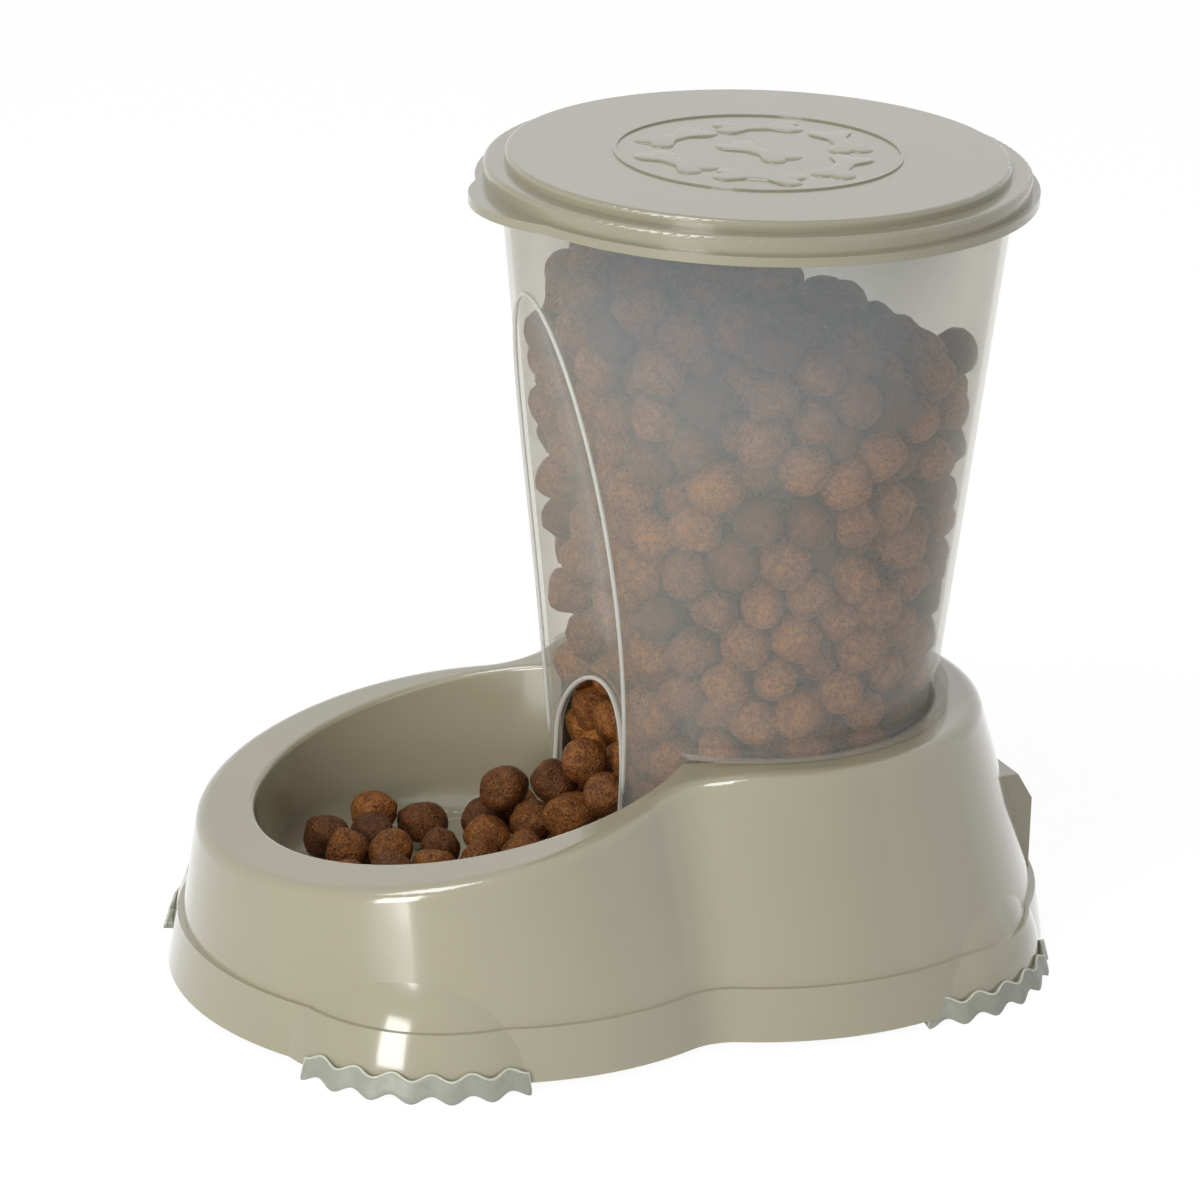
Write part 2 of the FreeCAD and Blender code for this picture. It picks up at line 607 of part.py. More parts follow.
def make_lid(feeder):
    """Build the lid: a turned shell with a raised panel, a thin ring and a finger tab."""
    lid = feeder.doc.addObject("PartDesign::Body", "lid_body")
    flange_top = "%s + sizes.lid_flange_height" % LID_BOTTOM
    hollow_radius = "%s - sizes.lid_wall" % LID_PANEL
    ring_inside = "sizes.medallion_radius - sizes.medallion_width"
    ring_top = "%s + sizes.medallion_rise" % LID_TOP
    corners = [
        (None, "%s - sizes.lid_wall" % LID_TOP),
        (hollow_radius, "%s - sizes.lid_wall" % LID_TOP),
        (hollow_radius, LID_UNDER),
        (LID_INNER, LID_UNDER),
        (LID_INNER, LID_BOTTOM),
        (LID_FLANGE, LID_BOTTOM),
        (LID_FLANGE, flange_top),
        (LID_SIDE, flange_top),
        (LID_SIDE, LID_SHOULDER),
        (LID_PANEL, LID_SHOULDER),
        (LID_PANEL, LID_TOP),
        ("sizes.medallion_radius", LID_TOP),
        ("sizes.medallion_radius", ring_top),
        (ring_inside, ring_top),
        (ring_inside, LID_TOP),
        (None, LID_TOP),
    ]
    sketch = profile_sketch(feeder, lid, "lid_profile", corners)
    turned = lid.newObject("PartDesign::Revolution", "lid_turned")
    turned.Profile = sketch
    turned.ReferenceAxis = (sketch, ["V_Axis"])
    turned.Angle = 360.0
    feeder.doc.recompute()
    tab = tab_pad(feeder, lid)
    feeder.doc.recompute()
    soften_lid(feeder, lid, tab)
    lid.setExpression("Placement.Base.y", HOPPER_Y)
    return feeder.piece(lid, "lid")


def tab_pad(feeder, lid):
    """Add the finger tab: a curved tongue that grows out of the middle of the skirt's wall."""
    half = "sizes.tab_half_width"
    inside = "(%s + sizes.lid_skirt_wall / 2)" % LID_INNER
    root = "sqrt(%s ^ 2 - %s ^ 2)" % (inside, half)
    depth = "(%s + sizes.tab_out - %s)" % (LID_FLANGE, root)
    radius = "(%s ^ 2 + %s ^ 2) / (2 * %s)" % (half, depth, depth)
    half_size, root_size, inside_size = (feeder.value(item) for item in (half, root, inside))
    reach = root_size + feeder.value(depth)
    sketch = lid.newObject("Sketcher::SketchObject", "tab_outline")
    plane = [item for item in lid.Origin.OriginFeatures if item.Role == "XY_Plane"][0]
    sketch.AttachmentSupport = [(plane, "")]
    sketch.MapMode = "FlatFace"
    sketch.setExpression("AttachmentOffset.Base.z", LID_BOTTOM)
    left, right = Vector(-half_size, -root_size, 0), Vector(half_size, -root_size, 0)
    sketch.addGeometry(Part.Arc(left, Vector(0, -reach, 0), right), False)
    sketch.addGeometry(Part.Arc(left, Vector(0, -inside_size, 0), right), False)
    sketch.addConstraint(Sketcher.Constraint("Coincident", 1, 3, -1, 1))
    sketch.addConstraint(Sketcher.Constraint("Coincident", 0, 1, 1, 1))
    sketch.addConstraint(Sketcher.Constraint("Coincident", 0, 2, 1, 2))
    sketch.addConstraint(Sketcher.Constraint("Horizontal", 1, 1, 1, 2))
    rules = [
        (Sketcher.Constraint("DistanceX", 1, 1, 1, 2, 2 * half_size), "2 * " + half),
        (Sketcher.Constraint("Radius", 1, inside_size), inside),
        (Sketcher.Constraint("Radius", 0, feeder.value(radius)), radius),
    ]
    for constraint, expression in rules:
        number = sketch.addConstraint(constraint)
        sketch.setExpression("Constraints[%d]" % number, expression)
    pad = lid.newObject("PartDesign::Pad", "lid_tab")
    pad.Profile = sketch
    pad.setExpression("Length", "sizes.lid_flange_height")
    return pad


def soften_lid(feeder, lid, tab):
    """Round the lid's shoulder and the edge of its raised panel."""
    wanted = [(feeder.value(LID_SIDE), feeder.value(LID_SHOULDER)),
              (feeder.value(LID_PANEL), feeder.value(LID_TOP))]
    names = []
    for number, edge in enumerate(tab.Shape.Edges, start=1):
        if not isinstance(edge.Curve, Part.Circle):
            continue
        for radius, height in wanted:
            if abs(edge.Curve.Radius - radius) < 0.01 and abs(edge.BoundBox.ZMax - height) < 0.01:
                names.append("Edge%d" % number)
    fillet = lid.newObject("PartDesign::Fillet", "lid_rounding")
    fillet.Base = (tab, names)
    fillet.setExpression("Radius", "0.8 * sizes.lid_wall")
    lid.Tip = fillet
    return fillet


def make_fill(feeder):
    """Build the kibble in the hopper: one heap, level in front and falling to the rear."""
    gap = "(sizes.hopper_wall + sizes.fill_gap)"
    heap = cup(feeder, "heap_cup", "-" + gap, floor_rise(gap), "sizes.hopper_top")
    heap = feeder.cut("heap_scooped", heap, scoop(feeder, "scoop_heap", gap))
    crest = "(%s - sizes.fill_crest)" % HOPPER_Y
    over = feeder.bound("Part::Wedge", "space_over_heap", Ymin=crest,
                        Ymax="%s + 200" % crest, Zmin="sizes.fill_level",
                        Z2min="sizes.fill_level - 200 * sizes.fill_slope")
    over.Xmin = over.X2min = -REACH
    over.Xmax = over.X2max = REACH
    over.Zmax = over.Z2max = REACH
    ahead = feeder.bound("Part::Box", "space_over_crest", Width="200 mm", Height="200 mm")
    ahead.Length = 2 * REACH
    ahead.Placement = Placement(Vector(-REACH, 0, 0), Rotation())
    feeder.place(ahead, y="%s - 200" % crest, z="sizes.fill_level")
    heap = feeder.cut("heap", heap, feeder.fuse("space_over", [over, ahead]))
    heap.Refine = True
    return feeder.piece(heap, "kibble_in_hopper")


def ringed_solid(rings):
    """Return the solid between the first and the last of some rings of points."""
    faces = [Part.Face(Part.makePolygon(ring + ring[:1])) for ring in (rings[0], rings[-1])]
    for lower, upper in zip(rings, rings[1:]):
        for index in range(len(lower)):
            after = (index + 1) % len(lower)
            corners = [lower[index], lower[after], upper[after], upper[index], lower[index]]
            faces.append(Part.Face(Part.makePolygon(corners)))
    return Part.makeSolid(Part.makeShell(faces))


def kibble_pellet(feeder, place):
    """Return one kibble: a twelve-sided pellet with its two ends drawn in.

    Its corners lie on a sphere and point at its neighbours in the heap.
    """
    radius = feeder.size("kibble_size") / 2
    sides = 12
    rings = []
    for tilt in (-KIBBLE_END, -KIBBLE_SIDE, KIBBLE_SIDE, KIBBLE_END):
        across, up = radius * math.cos(math.radians(tilt)), radius * math.sin(math.radians(tilt))
        ring = []
        for index in range(sides):
            angle = 2 * math.pi * index / sides
            ring.append(place + Vector(across * math.cos(angle), across * math.sin(angle), up))
        rings.append(ring)
    return ringed_solid(rings)


def make_bowl_kibble(feeder):
    """Build the loose kibble in the bowl: layers on a three-way grid under a sloping top."""
    size = feeder.size
    space = size("kibble_space")
    row, layer = space * math.sqrt(3) / 2, space * math.sqrt(2.0 / 3.0)
    first = (size("bowl_floor") + size("seat_gap")
             + size("kibble_size") / 2 * math.sin(math.radians(KIBBLE_END)))
    rear = (feeder.value(SCOOP_AT_SILL) - size("kibble_size") / 2 - size("bead_rise")
            - size("well_gap"))
    pellets = []
    for level in range(4):
        height = first + level * layer
        for number in range(-3, 8):
            y = rear - level * 2 * row / 3 - number * row
            offset = (number % 2) * space / 2
            for step in range(-4, 5):
                x = step * space + offset
                if kibble_fits(feeder, x, y, height):
                    pellets.append(kibble_pellet(feeder, Vector(x, y, height)))
    pile = feeder.block("kibble_in_bowl", Part.makeCompound(pellets))
    return feeder.piece(pile, "kibble_in_bowl")


def kibble_fits(feeder, x, y, height):
    """Say whether a kibble's centre lies inside the bowl and under the heap's top.

    The heap is one layer in front of the bowl's middle and rises evenly to the arch.
    """
    size = feeder.size
    middle, back = feeder.value(BOWL_Y), feeder.value(SCOOP_AT_SILL)
    low, high = size("bowl_floor") + size("kibble_size"), size("arch_centre")
    share = max(0.0, min(1.0, (y - middle) / (back - middle)))
    if height > low + (high - low) * share:
        return False
    above, corner = height - size("bowl_floor"), size("bowl_corner")
    inset = size("kibble_size") / 2 + 1.0
    if above < corner:
        inset += corner - math.sqrt(corner ** 2 - (corner - above) ** 2)
    change = size("bowl_draft") * (height - size("bowl_gauge_height")) - inset
    wide, long = size("bowl_half_width") + change, feeder.value(BOWL_HALF_LENGTH) + change
    inside = (x / wide) ** 2 + ((y - middle) / long) ** 2 < 1.0
    in_heap = y > middle - 0.45 * long and abs(x) < 1.5 * size("arch_radius")
    return inside and in_heap and clear_of_hopper(feeder, x, y, height)


def clear_of_hopper(feeder, x, y, height):
    """Say whether a kibble stands clear of the hopper: outside its cone or in its scoop.

    The scoop is measured at the sill, where it reaches furthest forward, so that the hopper
    also lifts past the kibble.
    """
    size = feeder.size
    room = size("kibble_size") / 2 + size("bead_rise") + size("well_gap") - 0.01
    cone = size("hopper_deck_radius") + size("hopper_taper") * (height - size("deck_height"))
    outside_cone = math.hypot(x, y - feeder.value(HOPPER_Y)) > cone + room
    scoop_axis = feeder.value(SCOOP_AT_SILL) - size("scoop_radius")
    inside_scoop = math.hypot(x, y - scoop_axis) < size("scoop_radius") - room
    return outside_cone or inside_scoop


def check(feeder):
    """Stop if an object of the document or a finished piece isn't sound."""
    feeder.doc.recompute()
    for item in feeder.doc.Objects:
        for word in ("Invalid", "Error"):
            if word in item.State:
                raise RuntimeError("%s is %s" % (item.Label, item.State))
    for piece in feeder.pieces:
        shape = piece.Shape
        if shape.isNull() or not shape.isValid() or not shape.Solids:
            raise RuntimeError("%s has no sound solid" % piece.Label)
        box = shape.optimalBoundingBox(False)
        print("%-18s solids %2d volume %9.0f  x %.2f..%.2f y %.2f..%.2f z %.2f..%.2f" % (
            piece.Label, len(shape.Solids), shape.Volume, box.XMin, box.XMax,
            box.YMin, box.YMax, box.ZMin, box.ZMax))


def main():
    """Build every piece, check them and write their STEP files."""
    feeder = Feeder()
    make_base(feeder)
    for label, centre, lobe_y in foot_centres(feeder):
        make_grip(feeder, label, centre, lobe_y)
    make_bowl_kibble(feeder)
    make_hopper(feeder)
    make_fill(feeder)
    make_lid(feeder)
    check(feeder)
    os.makedirs("parts", exist_ok=True)
    for piece in feeder.pieces:
        piece.Shape.exportStep(os.path.join("parts", piece.Label + ".step"))


main()
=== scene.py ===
import json
import logging
import math
from dataclasses import dataclass, field
from enum import Enum

import bpy
import numpy as np
from mathutils import Matrix, Vector

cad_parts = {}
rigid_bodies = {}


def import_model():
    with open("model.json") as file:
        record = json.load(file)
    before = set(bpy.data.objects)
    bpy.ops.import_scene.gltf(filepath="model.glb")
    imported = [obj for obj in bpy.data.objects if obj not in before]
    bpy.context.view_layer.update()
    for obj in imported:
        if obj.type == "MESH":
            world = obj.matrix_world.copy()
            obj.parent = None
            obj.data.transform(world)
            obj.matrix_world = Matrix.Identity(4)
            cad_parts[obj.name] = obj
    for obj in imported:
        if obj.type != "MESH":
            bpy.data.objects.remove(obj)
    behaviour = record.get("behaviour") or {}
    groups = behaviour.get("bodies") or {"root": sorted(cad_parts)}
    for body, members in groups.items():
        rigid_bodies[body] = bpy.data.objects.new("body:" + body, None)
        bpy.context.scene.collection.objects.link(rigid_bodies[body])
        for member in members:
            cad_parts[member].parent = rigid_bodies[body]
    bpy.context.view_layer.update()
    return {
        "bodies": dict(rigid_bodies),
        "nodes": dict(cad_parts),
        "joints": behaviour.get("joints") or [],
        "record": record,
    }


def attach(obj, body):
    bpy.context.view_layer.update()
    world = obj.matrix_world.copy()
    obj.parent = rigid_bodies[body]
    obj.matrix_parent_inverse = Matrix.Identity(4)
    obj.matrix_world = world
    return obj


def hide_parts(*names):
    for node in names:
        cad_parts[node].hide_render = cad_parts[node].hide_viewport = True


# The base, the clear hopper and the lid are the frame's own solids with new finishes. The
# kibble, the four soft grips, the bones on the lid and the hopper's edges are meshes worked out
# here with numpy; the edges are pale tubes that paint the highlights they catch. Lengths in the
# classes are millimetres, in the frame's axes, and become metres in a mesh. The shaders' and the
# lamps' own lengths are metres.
"""Gravity pet feeder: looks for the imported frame.

The base, the clear hopper and the lid are the frame's own solids with new finishes. The
kibble, the four soft grips, the bones on the lid and the hopper's bright edges are meshes
worked out here with numpy. Lengths in the classes are millimetres, in the frame's axes, and
become metres in a mesh. The shaders' and the lamps' own lengths are metres.
"""

LOG = logging.getLogger("feeder")
MM = 0.001
SEEING_RAYS = ("Is Camera Ray", "Is Glossy Ray", "Is Transmission Ray")
TUBE_SIDES = 8
TINY = 1e-6
WHITE = (1.0, 1.0, 1.0, 1.0)

Socket = bpy.types.NodeSocket
Number = Socket | float
Colour = Socket | tuple[float, ...]
Point = tuple[float, float, float]


def linear(red: float, green: float, blue: float, alpha: float = 1.0) -> tuple[float, ...]:
    """Turn a colour on the 0-255 screen scale into the linear one that shaders take.

    Args:
        red, green, blue: the screen values.
        alpha: the fourth number, passed through.

    Returns:
        Four floats, each channel through the sRGB curve: c/12.92 low down, a power above.
    """
    channels = np.array([red, green, blue], dtype=float) / 255.0
    curve = np.where(channels <= 0.04045, channels / 12.92, ((channels + 0.055) / 1.055) ** 2.4)
    return (*(float(value) for value in curve), alpha)


# Centres of the kibbles that lie in the bowl in full view.
SEEN_IN_BOWL: tuple[Point, ...] = (
    (-33.0, -81.5, 34.5), (-18.5, -80.0, 35.0), (-41.0, -62.5, 37.0), (-28.5, -69.0, 35.5),
    (-14.0, -68.0, 35.0), (-34.0, -49.0, 34.5), (-13.0, -52.0, 34.5), (-28.5, -31.0, 34.5),
    (-12.0, -36.5, 36.0), (-21.5, -27.5, 47.5), (-12.0, -21.5, 38.0), (-9.5, -16.5, 52.5),
    (3.5, -15.5, 46.5),
)
# Centres of the kibbles that hang in the hopper's arch, half out of it.
SEEN_IN_ARCH: tuple[Point, ...] = ((-0.5, -9.8, 62.0), (16.5, -10.0, 57.0))


class Body(Enum):
    """The bodies that pieces ride on."""

    BASE = "base"
    HOPPER = "hopper"
    LID = "lid"


class Slot(Enum):
    """The record's material slots."""

    BASE = "base_plastic"
    LID = "lid_plastic"
    CLEAR = "clear_plastic"
    RUBBER = "grip_rubber"
    KIBBLE = "kibble"


class Nodes:
    """Short calls that add nodes to one tree, which starts empty.

    Args:
        tree: the node tree of a material or a world.
    """

    def __init__(self, tree: bpy.types.NodeTree) -> None:
        """Keep the tree and empty it."""
        self.tree = tree
        self.tree.nodes.clear()

    def add(self, kind: str, inputs: dict | None = None, **settings: str) -> bpy.types.Node:
        """Add a node.

        Args:
            kind: Blender's name for the node.
            inputs: values or sockets by input name or number.
            settings: properties of the node itself.

        Returns:
            The new node.
        """
        node = self.tree.nodes.new(kind)
        for key, value in settings.items():
            setattr(node, key, value)
        for key, value in (inputs or {}).items():
            if isinstance(value, bpy.types.NodeSocket):
                self.tree.links.new(value, node.inputs[key])
            else:
                node.inputs[key].default_value = value
        return node

    def ramp(self, value: Socket, low: float, high: float, start: float,
             end: float) -> Socket:
        """Map a value from low..high to start..end, held at both ends."""
        node = self.add("ShaderNodeMapRange", {"Value": value, "From Min": low,
                                               "From Max": high, "To Min": start, "To Max": end})
        return node.outputs["Result"]

    def math(self, operation: str, first: Number, second: Number = 0.0) -> Socket:
        """Join two values, each a number or a socket, by an operation's name."""
        node = self.add("ShaderNodeMath", {0: first, 1: second}, operation=operation)
        return node.outputs["Value"]

    def mix(self, factor: Number, first: Colour, second: Colour) -> Socket:
        """Mix two colours, each four numbers or a socket."""
        node = self.add("ShaderNodeMix", {0: factor, 6: first, 7: second}, data_type="RGBA")
        return node.outputs[2]

    def mix_shaders(self, factor: Number, first: bpy.types.Node,
                    second: bpy.types.Node) -> bpy.types.Node:
        """Mix two shaders' nodes by a factor, a number or a socket."""
        return self.add("ShaderNodeMixShader", {0: factor, 1: first.outputs[0],
                                                2: second.outputs[0]})

    def any_ray(self, *rays: str) -> Socket:
        """Tell some kinds of ray from the rest, as the greatest of their flags.

        Args:
            rays: outputs of the Light Path node, such as Is Camera Ray.

        Returns:
            1 on those rays and 0 on others.
        """
        path = self.add("ShaderNodeLightPath").outputs
        flag = path[rays[0]]
        for ray in rays[1:]:
            flag = self.math("MAXIMUM", flag, path[ray])
        return flag


class Recipe(Nodes):
    """Short calls that build one material's nodes.

    Args:
        name: the material's name.
    """

    def __init__(self, name: str) -> None:
        """Make the material, with its output and the object's own coordinates."""
        self.material = bpy.data.materials.new(name)
        self.material.use_nodes = True
        super().__init__(self.material.node_tree)
        self.output = self.add("ShaderNodeOutputMaterial")
        self.place = self.add("ShaderNodeTexCoord").outputs["Object"]

    def noise(self, scale: float, detail: float = 3.0, roughness: float = 0.5) -> Socket:
        """Return a noise value of the given scale, per metre."""
        node = self.add("ShaderNodeTexNoise", {"Vector": self.place, "Scale": scale,
                                               "Detail": detail, "Roughness": roughness})
        return node.outputs["Fac"]

    def bump(self, height: Socket, strength: float, distance: float) -> Socket:
        """Return a normal bumped by a height, distance in millimetres."""
        node = self.add("ShaderNodeBump", {"Height": height, "Strength": strength,
                                           "Distance": distance * MM})
        return node.outputs["Normal"]

    def principled(self, **inputs: float | Colour) -> bpy.types.Node:
        """Add a Principled shader; an underscore in a name stands for a space."""
        named = {key.replace("_", " "): value for key, value in inputs.items()}
        return self.add("ShaderNodeBsdfPrincipled", named)

    def finish(self, shader: bpy.types.Node) -> bpy.types.Material:
        """Link a shader to the output and return the material."""
        self.tree.links.new(shader.outputs[0], self.output.inputs["Surface"])
        return self.material


@dataclass(frozen=True)
class MouldedPlastic:
    """Opaque moulded plastic: a warm off-white with a faint cloud and a faint wave.

    Scales are per metre. The cloud darkens the colour to a share of itself, the wipe moves
    the roughness up and down, and the wave bumps the surface.
    """

    name: str
    colour: tuple[float, ...]
    roughness: float
    coat: float
    wave: float = 0.08
    wave_scale: float = 28.0
    cloud_scale: float = 14.0
    cloud_share: float = 0.955
    wipe: float = 0.03
    wipe_scale: float = 55.0

    def material(self) -> bpy.types.Material:
        """Mix a slow cloud, a quick wipe and a wave from noise.

        Returns:
            The finish as a material.
        """
        recipe = Recipe(self.name)
        cloud = recipe.ramp(recipe.noise(self.cloud_scale, 3.0), 0.35, 0.65, 0.0, 1.0)
        deep = tuple(value * self.cloud_share for value in self.colour[:3]) + (1.0,)
        colour = recipe.mix(cloud, deep, self.colour)
        rough = recipe.ramp(recipe.noise(self.wipe_scale, 4.0, 0.6), 0.3, 0.7,
                            self.roughness - self.wipe, self.roughness + self.wipe)
        normal = recipe.bump(recipe.noise(self.wave_scale, 1.0), self.wave, 0.3)
        return recipe.finish(recipe.principled(
            Base_Color=colour, Roughness=rough, Normal=normal, IOR=1.5,
            Coat_Weight=self.coat, Coat_Roughness=0.09))


@dataclass(frozen=True)
class ClearPlastic:
    """Clear moulded plastic with a slight haze, and a painted veil high up: reflections and
    shade painted as a darker, bluish grey.

    The haze, the veil and the edge are shares of the grey, glossy shader. The veil's heights
    are in metres, and smear is how far the haze goes up and down.
    """

    name: str
    colour: tuple[float, ...]
    painted_veil_colour: tuple[float, ...]
    haze: float
    veil: float
    edge: float
    roughness: float
    painted_veil_heights: tuple[float, float] = (0.165, 0.212)
    smear: float = 0.025
    edge_power: float = 2.5
    through: tuple[float, ...] = (0.992, 0.980, 0.950, 1.0)

    def material(self) -> bpy.types.Material:
        """Mix a see-through shader with a glossy, grey one.

        The share of the grey one has a faint smear of noise. It grows with height where the wall
        faces the eye, where it takes the veil's darker, bluish colour, which paints reflections
        and the shade under the lid, and towards the edges that turn away, by a power of how far
        they turn.

        Returns:
            The finish as a material.
        """
        recipe = Recipe(self.name)
        height = recipe.add("ShaderNodeSeparateXYZ", {"Vector": recipe.place}).outputs["Z"]
        smear = recipe.ramp(recipe.noise(14.0, 4.0, 0.6), 0.3, 0.7, -self.smear, self.smear)
        haze = recipe.math("ADD", smear, self.haze)
        turn = recipe.add("ShaderNodeLayerWeight", {"Blend": 0.5}).outputs["Facing"]
        veil = recipe.math("MULTIPLY", recipe.ramp(height, *self.painted_veil_heights, 0.0, 1.0),
                           recipe.ramp(turn, 0.22, 0.55, 1.0, 0.0))
        haze = recipe.math("ADD", haze, recipe.math("MULTIPLY", veil, self.veil))
        edge = recipe.math("MULTIPLY", recipe.math("POWER", turn, self.edge_power), self.edge)
        share = recipe.math("MINIMUM", recipe.math("ADD", haze, edge), 1.0)
        # Painted reflection and shade: high up the grey turns to the darker, bluish veil colour.
        grey = recipe.mix(veil, self.colour, self.painted_veil_colour)
        shine = recipe.principled(Base_Color=grey, Roughness=self.roughness, IOR=1.5,
                                  Coat_Weight=0.2, Coat_Roughness=0.04)
        clear = recipe.add("ShaderNodeBsdfTransparent", {"Color": self.through})
        return recipe.finish(recipe.mix_shaders(share, clear, shine))


@dataclass(frozen=True)
class SoftRubber:
    """Slightly see-into soft rubber with a matt, dusty skin."""

    name: str
    colour: tuple[float, ...]
    roughness: float = 0.42
    dust_scale: float = 220.0
    dust_share: float = 0.86
    patch_scale: float = 400.0
    grain_scale: float = 1500.0
    grain: float = 0.25

    def material(self) -> bpy.types.Material:
        """Mix dust, patches of roughness and a fine grain from noise.

        Returns:
            The finish as a material.
        """
        recipe = Recipe(self.name)
        dust = recipe.ramp(recipe.noise(self.dust_scale, 4.0, 0.65), 0.35, 0.7, 0.0, 1.0)
        dark = tuple(value * self.dust_share for value in self.colour[:3]) + (1.0,)
        colour = recipe.mix(dust, dark, self.colour)
        rough = recipe.ramp(recipe.noise(self.patch_scale, 2.0), 0.3, 0.7,
                            self.roughness - 0.06, self.roughness + 0.08)
        normal = recipe.bump(recipe.noise(self.grain_scale, 3.0), self.grain, 0.06)
        return recipe.finish(recipe.principled(
            Base_Color=colour, Roughness=rough, Normal=normal, IOR=1.45,
            Subsurface_Weight=0.25, Subsurface_Radius=(0.8, 0.8, 0.7),
            Subsurface_Scale=0.002))


@dataclass(frozen=True)
class KibbleSkin:
    """Baked dry food: a rough, faintly greasy crust, darker in its pits."""

    name: str
    dark: tuple[float, ...]
    middle: tuple[float, ...]
    light: tuple[float, ...]
    crust_scale: float = 330.0
    crumb_scale: float = 1300.0
    pit_scale: float = 620.0
    tone_share: float = 0.45
    bump: float = 0.9
    depth: float = 1.1

    def material(self) -> bpy.types.Material:
        """Mix each pellet's tone, partly random and partly painted shade, two scales of mottle
        and pits.

        The shade runs over three colours by crust and tone. The crumb's high end is dark pits
        and its low end light grains, and pellets of a low tone are darkened again, a painted
        shade for the food that lies in the bowl and the arch. The bump adds crust and pits and
        takes crumb away.

        Returns:
            The finish as a material.
        """
        recipe = Recipe(self.name)
        tone = recipe.add("ShaderNodeAttribute", attribute_name="tone").outputs["Fac"]
        crust = recipe.noise(self.crust_scale, 5.0, 0.62)
        crumb = recipe.noise(self.crumb_scale, 3.0, 0.6)
        pits = recipe.add("ShaderNodeTexVoronoi", {"Vector": recipe.place,
                                                   "Scale": self.pit_scale,
                                                   "Randomness": 1.0}).outputs["Distance"]
        shade = recipe.math("ADD", recipe.ramp(crust, 0.32, 0.68, 0.0, 0.55),
                            recipe.math("MULTIPLY", tone, self.tone_share))
        lower = recipe.mix(recipe.ramp(shade, 0.0, 0.5, 0.0, 1.0), self.dark, self.middle)
        upper = recipe.mix(recipe.ramp(shade, 0.5, 1.0, 0.0, 1.0), lower, self.light)
        pit = recipe.ramp(crumb, 0.52, 0.66, 0.0, 0.85)
        grain = recipe.ramp(crumb, 0.32, 0.46, 0.6, 0.0)
        colour = recipe.mix(grain, recipe.mix(pit, upper, self.dark), self.light)
        # Painted shade: pellets of a low tone are pulled towards the dark colour.
        colour = recipe.mix(recipe.ramp(tone, 0.0, 0.5, 0.85, 0.0), colour, self.dark)
        height = recipe.math("ADD", recipe.math("MULTIPLY", crust, 1.2),
                             recipe.math("ADD", recipe.math("MULTIPLY", crumb, -0.6),
                                         recipe.ramp(pits, 0.0, 0.35, 0.0, 0.5)))
        normal = recipe.bump(height, self.bump, self.depth)
        rough = recipe.ramp(crumb, 0.3, 0.7, 0.42, 0.72)
        return recipe.finish(recipe.principled(Base_Color=colour, Roughness=rough,
                                               Normal=normal, IOR=1.38))


def grid_quads(rows: int, columns: int, wrap_rows: bool, wrap_columns: bool) -> np.ndarray:
    """Number the quads of a grid of points stored row by row.

    Args:
        rows, columns: the grid's size.
        wrap_rows, wrap_columns: whether the last line joins the first.

    Returns:
        Quads of point numbers: each cell's corner, the next in its row, and the two
        across from them in the next row, in order round the cell.
    """
    row = np.arange(rows if wrap_rows else rows - 1)[:, None]
    column = np.arange(columns if wrap_columns else columns - 1)[None, :]
    next_row, next_column = (row + 1) % rows, (column + 1) % columns
    corners = [row * columns + column, row * columns + next_column,
               next_row * columns + next_column, next_row * columns + column]
    return np.stack(np.broadcast_arrays(*corners), axis=-1).reshape(-1, 4)


def tube(path: np.ndarray, outward: np.ndarray, radius: float) -> tuple[np.ndarray, list]:
    """Carry a small circle along a path.

    The circle lies square to the path: one of its axes is the outward direction with its
    part along the path taken off, and the other is the cross product of the two.

    Args:
        path: the middle line's points.
        outward: a direction at each point.
        radius: the circle's radius.

    Returns:
        The points and the faces, ends closed.
    """
    forward = np.gradient(path, axis=0)
    forward /= np.linalg.norm(forward, axis=1, keepdims=True)
    side = outward - forward * (outward * forward).sum(1, keepdims=True)
    side /= np.linalg.norm(side, axis=1, keepdims=True)
    up = np.cross(forward, side)
    turn = (np.arange(TUBE_SIDES) * 2 * math.pi / TUBE_SIDES)[None, :, None]
    points = path[:, None, :] + radius * (np.cos(turn) * side[:, None, :]
                                          + np.sin(turn) * up[:, None, :])
    last = (len(path) - 1) * TUBE_SIDES
    ends = [list(range(TUBE_SIDES))[::-1], list(range(last, last + TUBE_SIDES))]
    return points.reshape(-1, 3), grid_quads(len(path), TUBE_SIDES, False, True).tolist() + ends


def make_piece(name: str, points: np.ndarray, faces: list, body: Body, slot: Slot,
               material: bpy.types.Material) -> bpy.types.Object:
    """Make a smooth-shaded piece from points in millimetres and let it ride.

    Args:
        name: the piece's name.
        points: an array of points.
        faces: lists of point numbers.
        body: the body that it moves with.
        slot: not used.
        material: its finish.

    Returns:
        The new object, at the origin.
    """
    mesh = bpy.data.meshes.new(name)
    mesh.from_pydata((points * MM).tolist(), [], faces)
    mesh.polygons.foreach_set("use_smooth", np.ones(len(mesh.polygons), dtype=bool))
    mesh.materials.append(material)
    mesh.update()
    piece = bpy.data.objects.new(name, mesh)
    bpy.context.scene.collection.objects.link(piece)
    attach(piece, body.value)
    LOG.info("%s: %d points, %d faces", name, len(points), len(faces))
    return piece


def random_turns(count: int, rng: np.random.Generator) -> np.ndarray:
    """Draw turns that point anywhere, from unit quaternions of four normal numbers.

    Args:
        count: how many.
        rng: the seeded source.

    Returns:
        An array of count rotation matrices.
    """
    quaternion = rng.normal(size=(count, 4))
    quaternion /= np.linalg.norm(quaternion, axis=1, keepdims=True)
    w, x, y, z = quaternion.T
    return np.stack([
        np.stack([1 - 2 * (y * y + z * z), 2 * (x * y - z * w), 2 * (x * z + y * w)], -1),
        np.stack([2 * (x * y + z * w), 1 - 2 * (x * x + z * z), 2 * (y * z - x * w)], -1),
        np.stack([2 * (x * z - y * w), 2 * (y * z + x * w), 1 - 2 * (x * x + y * y)], -1),
    ], axis=1)


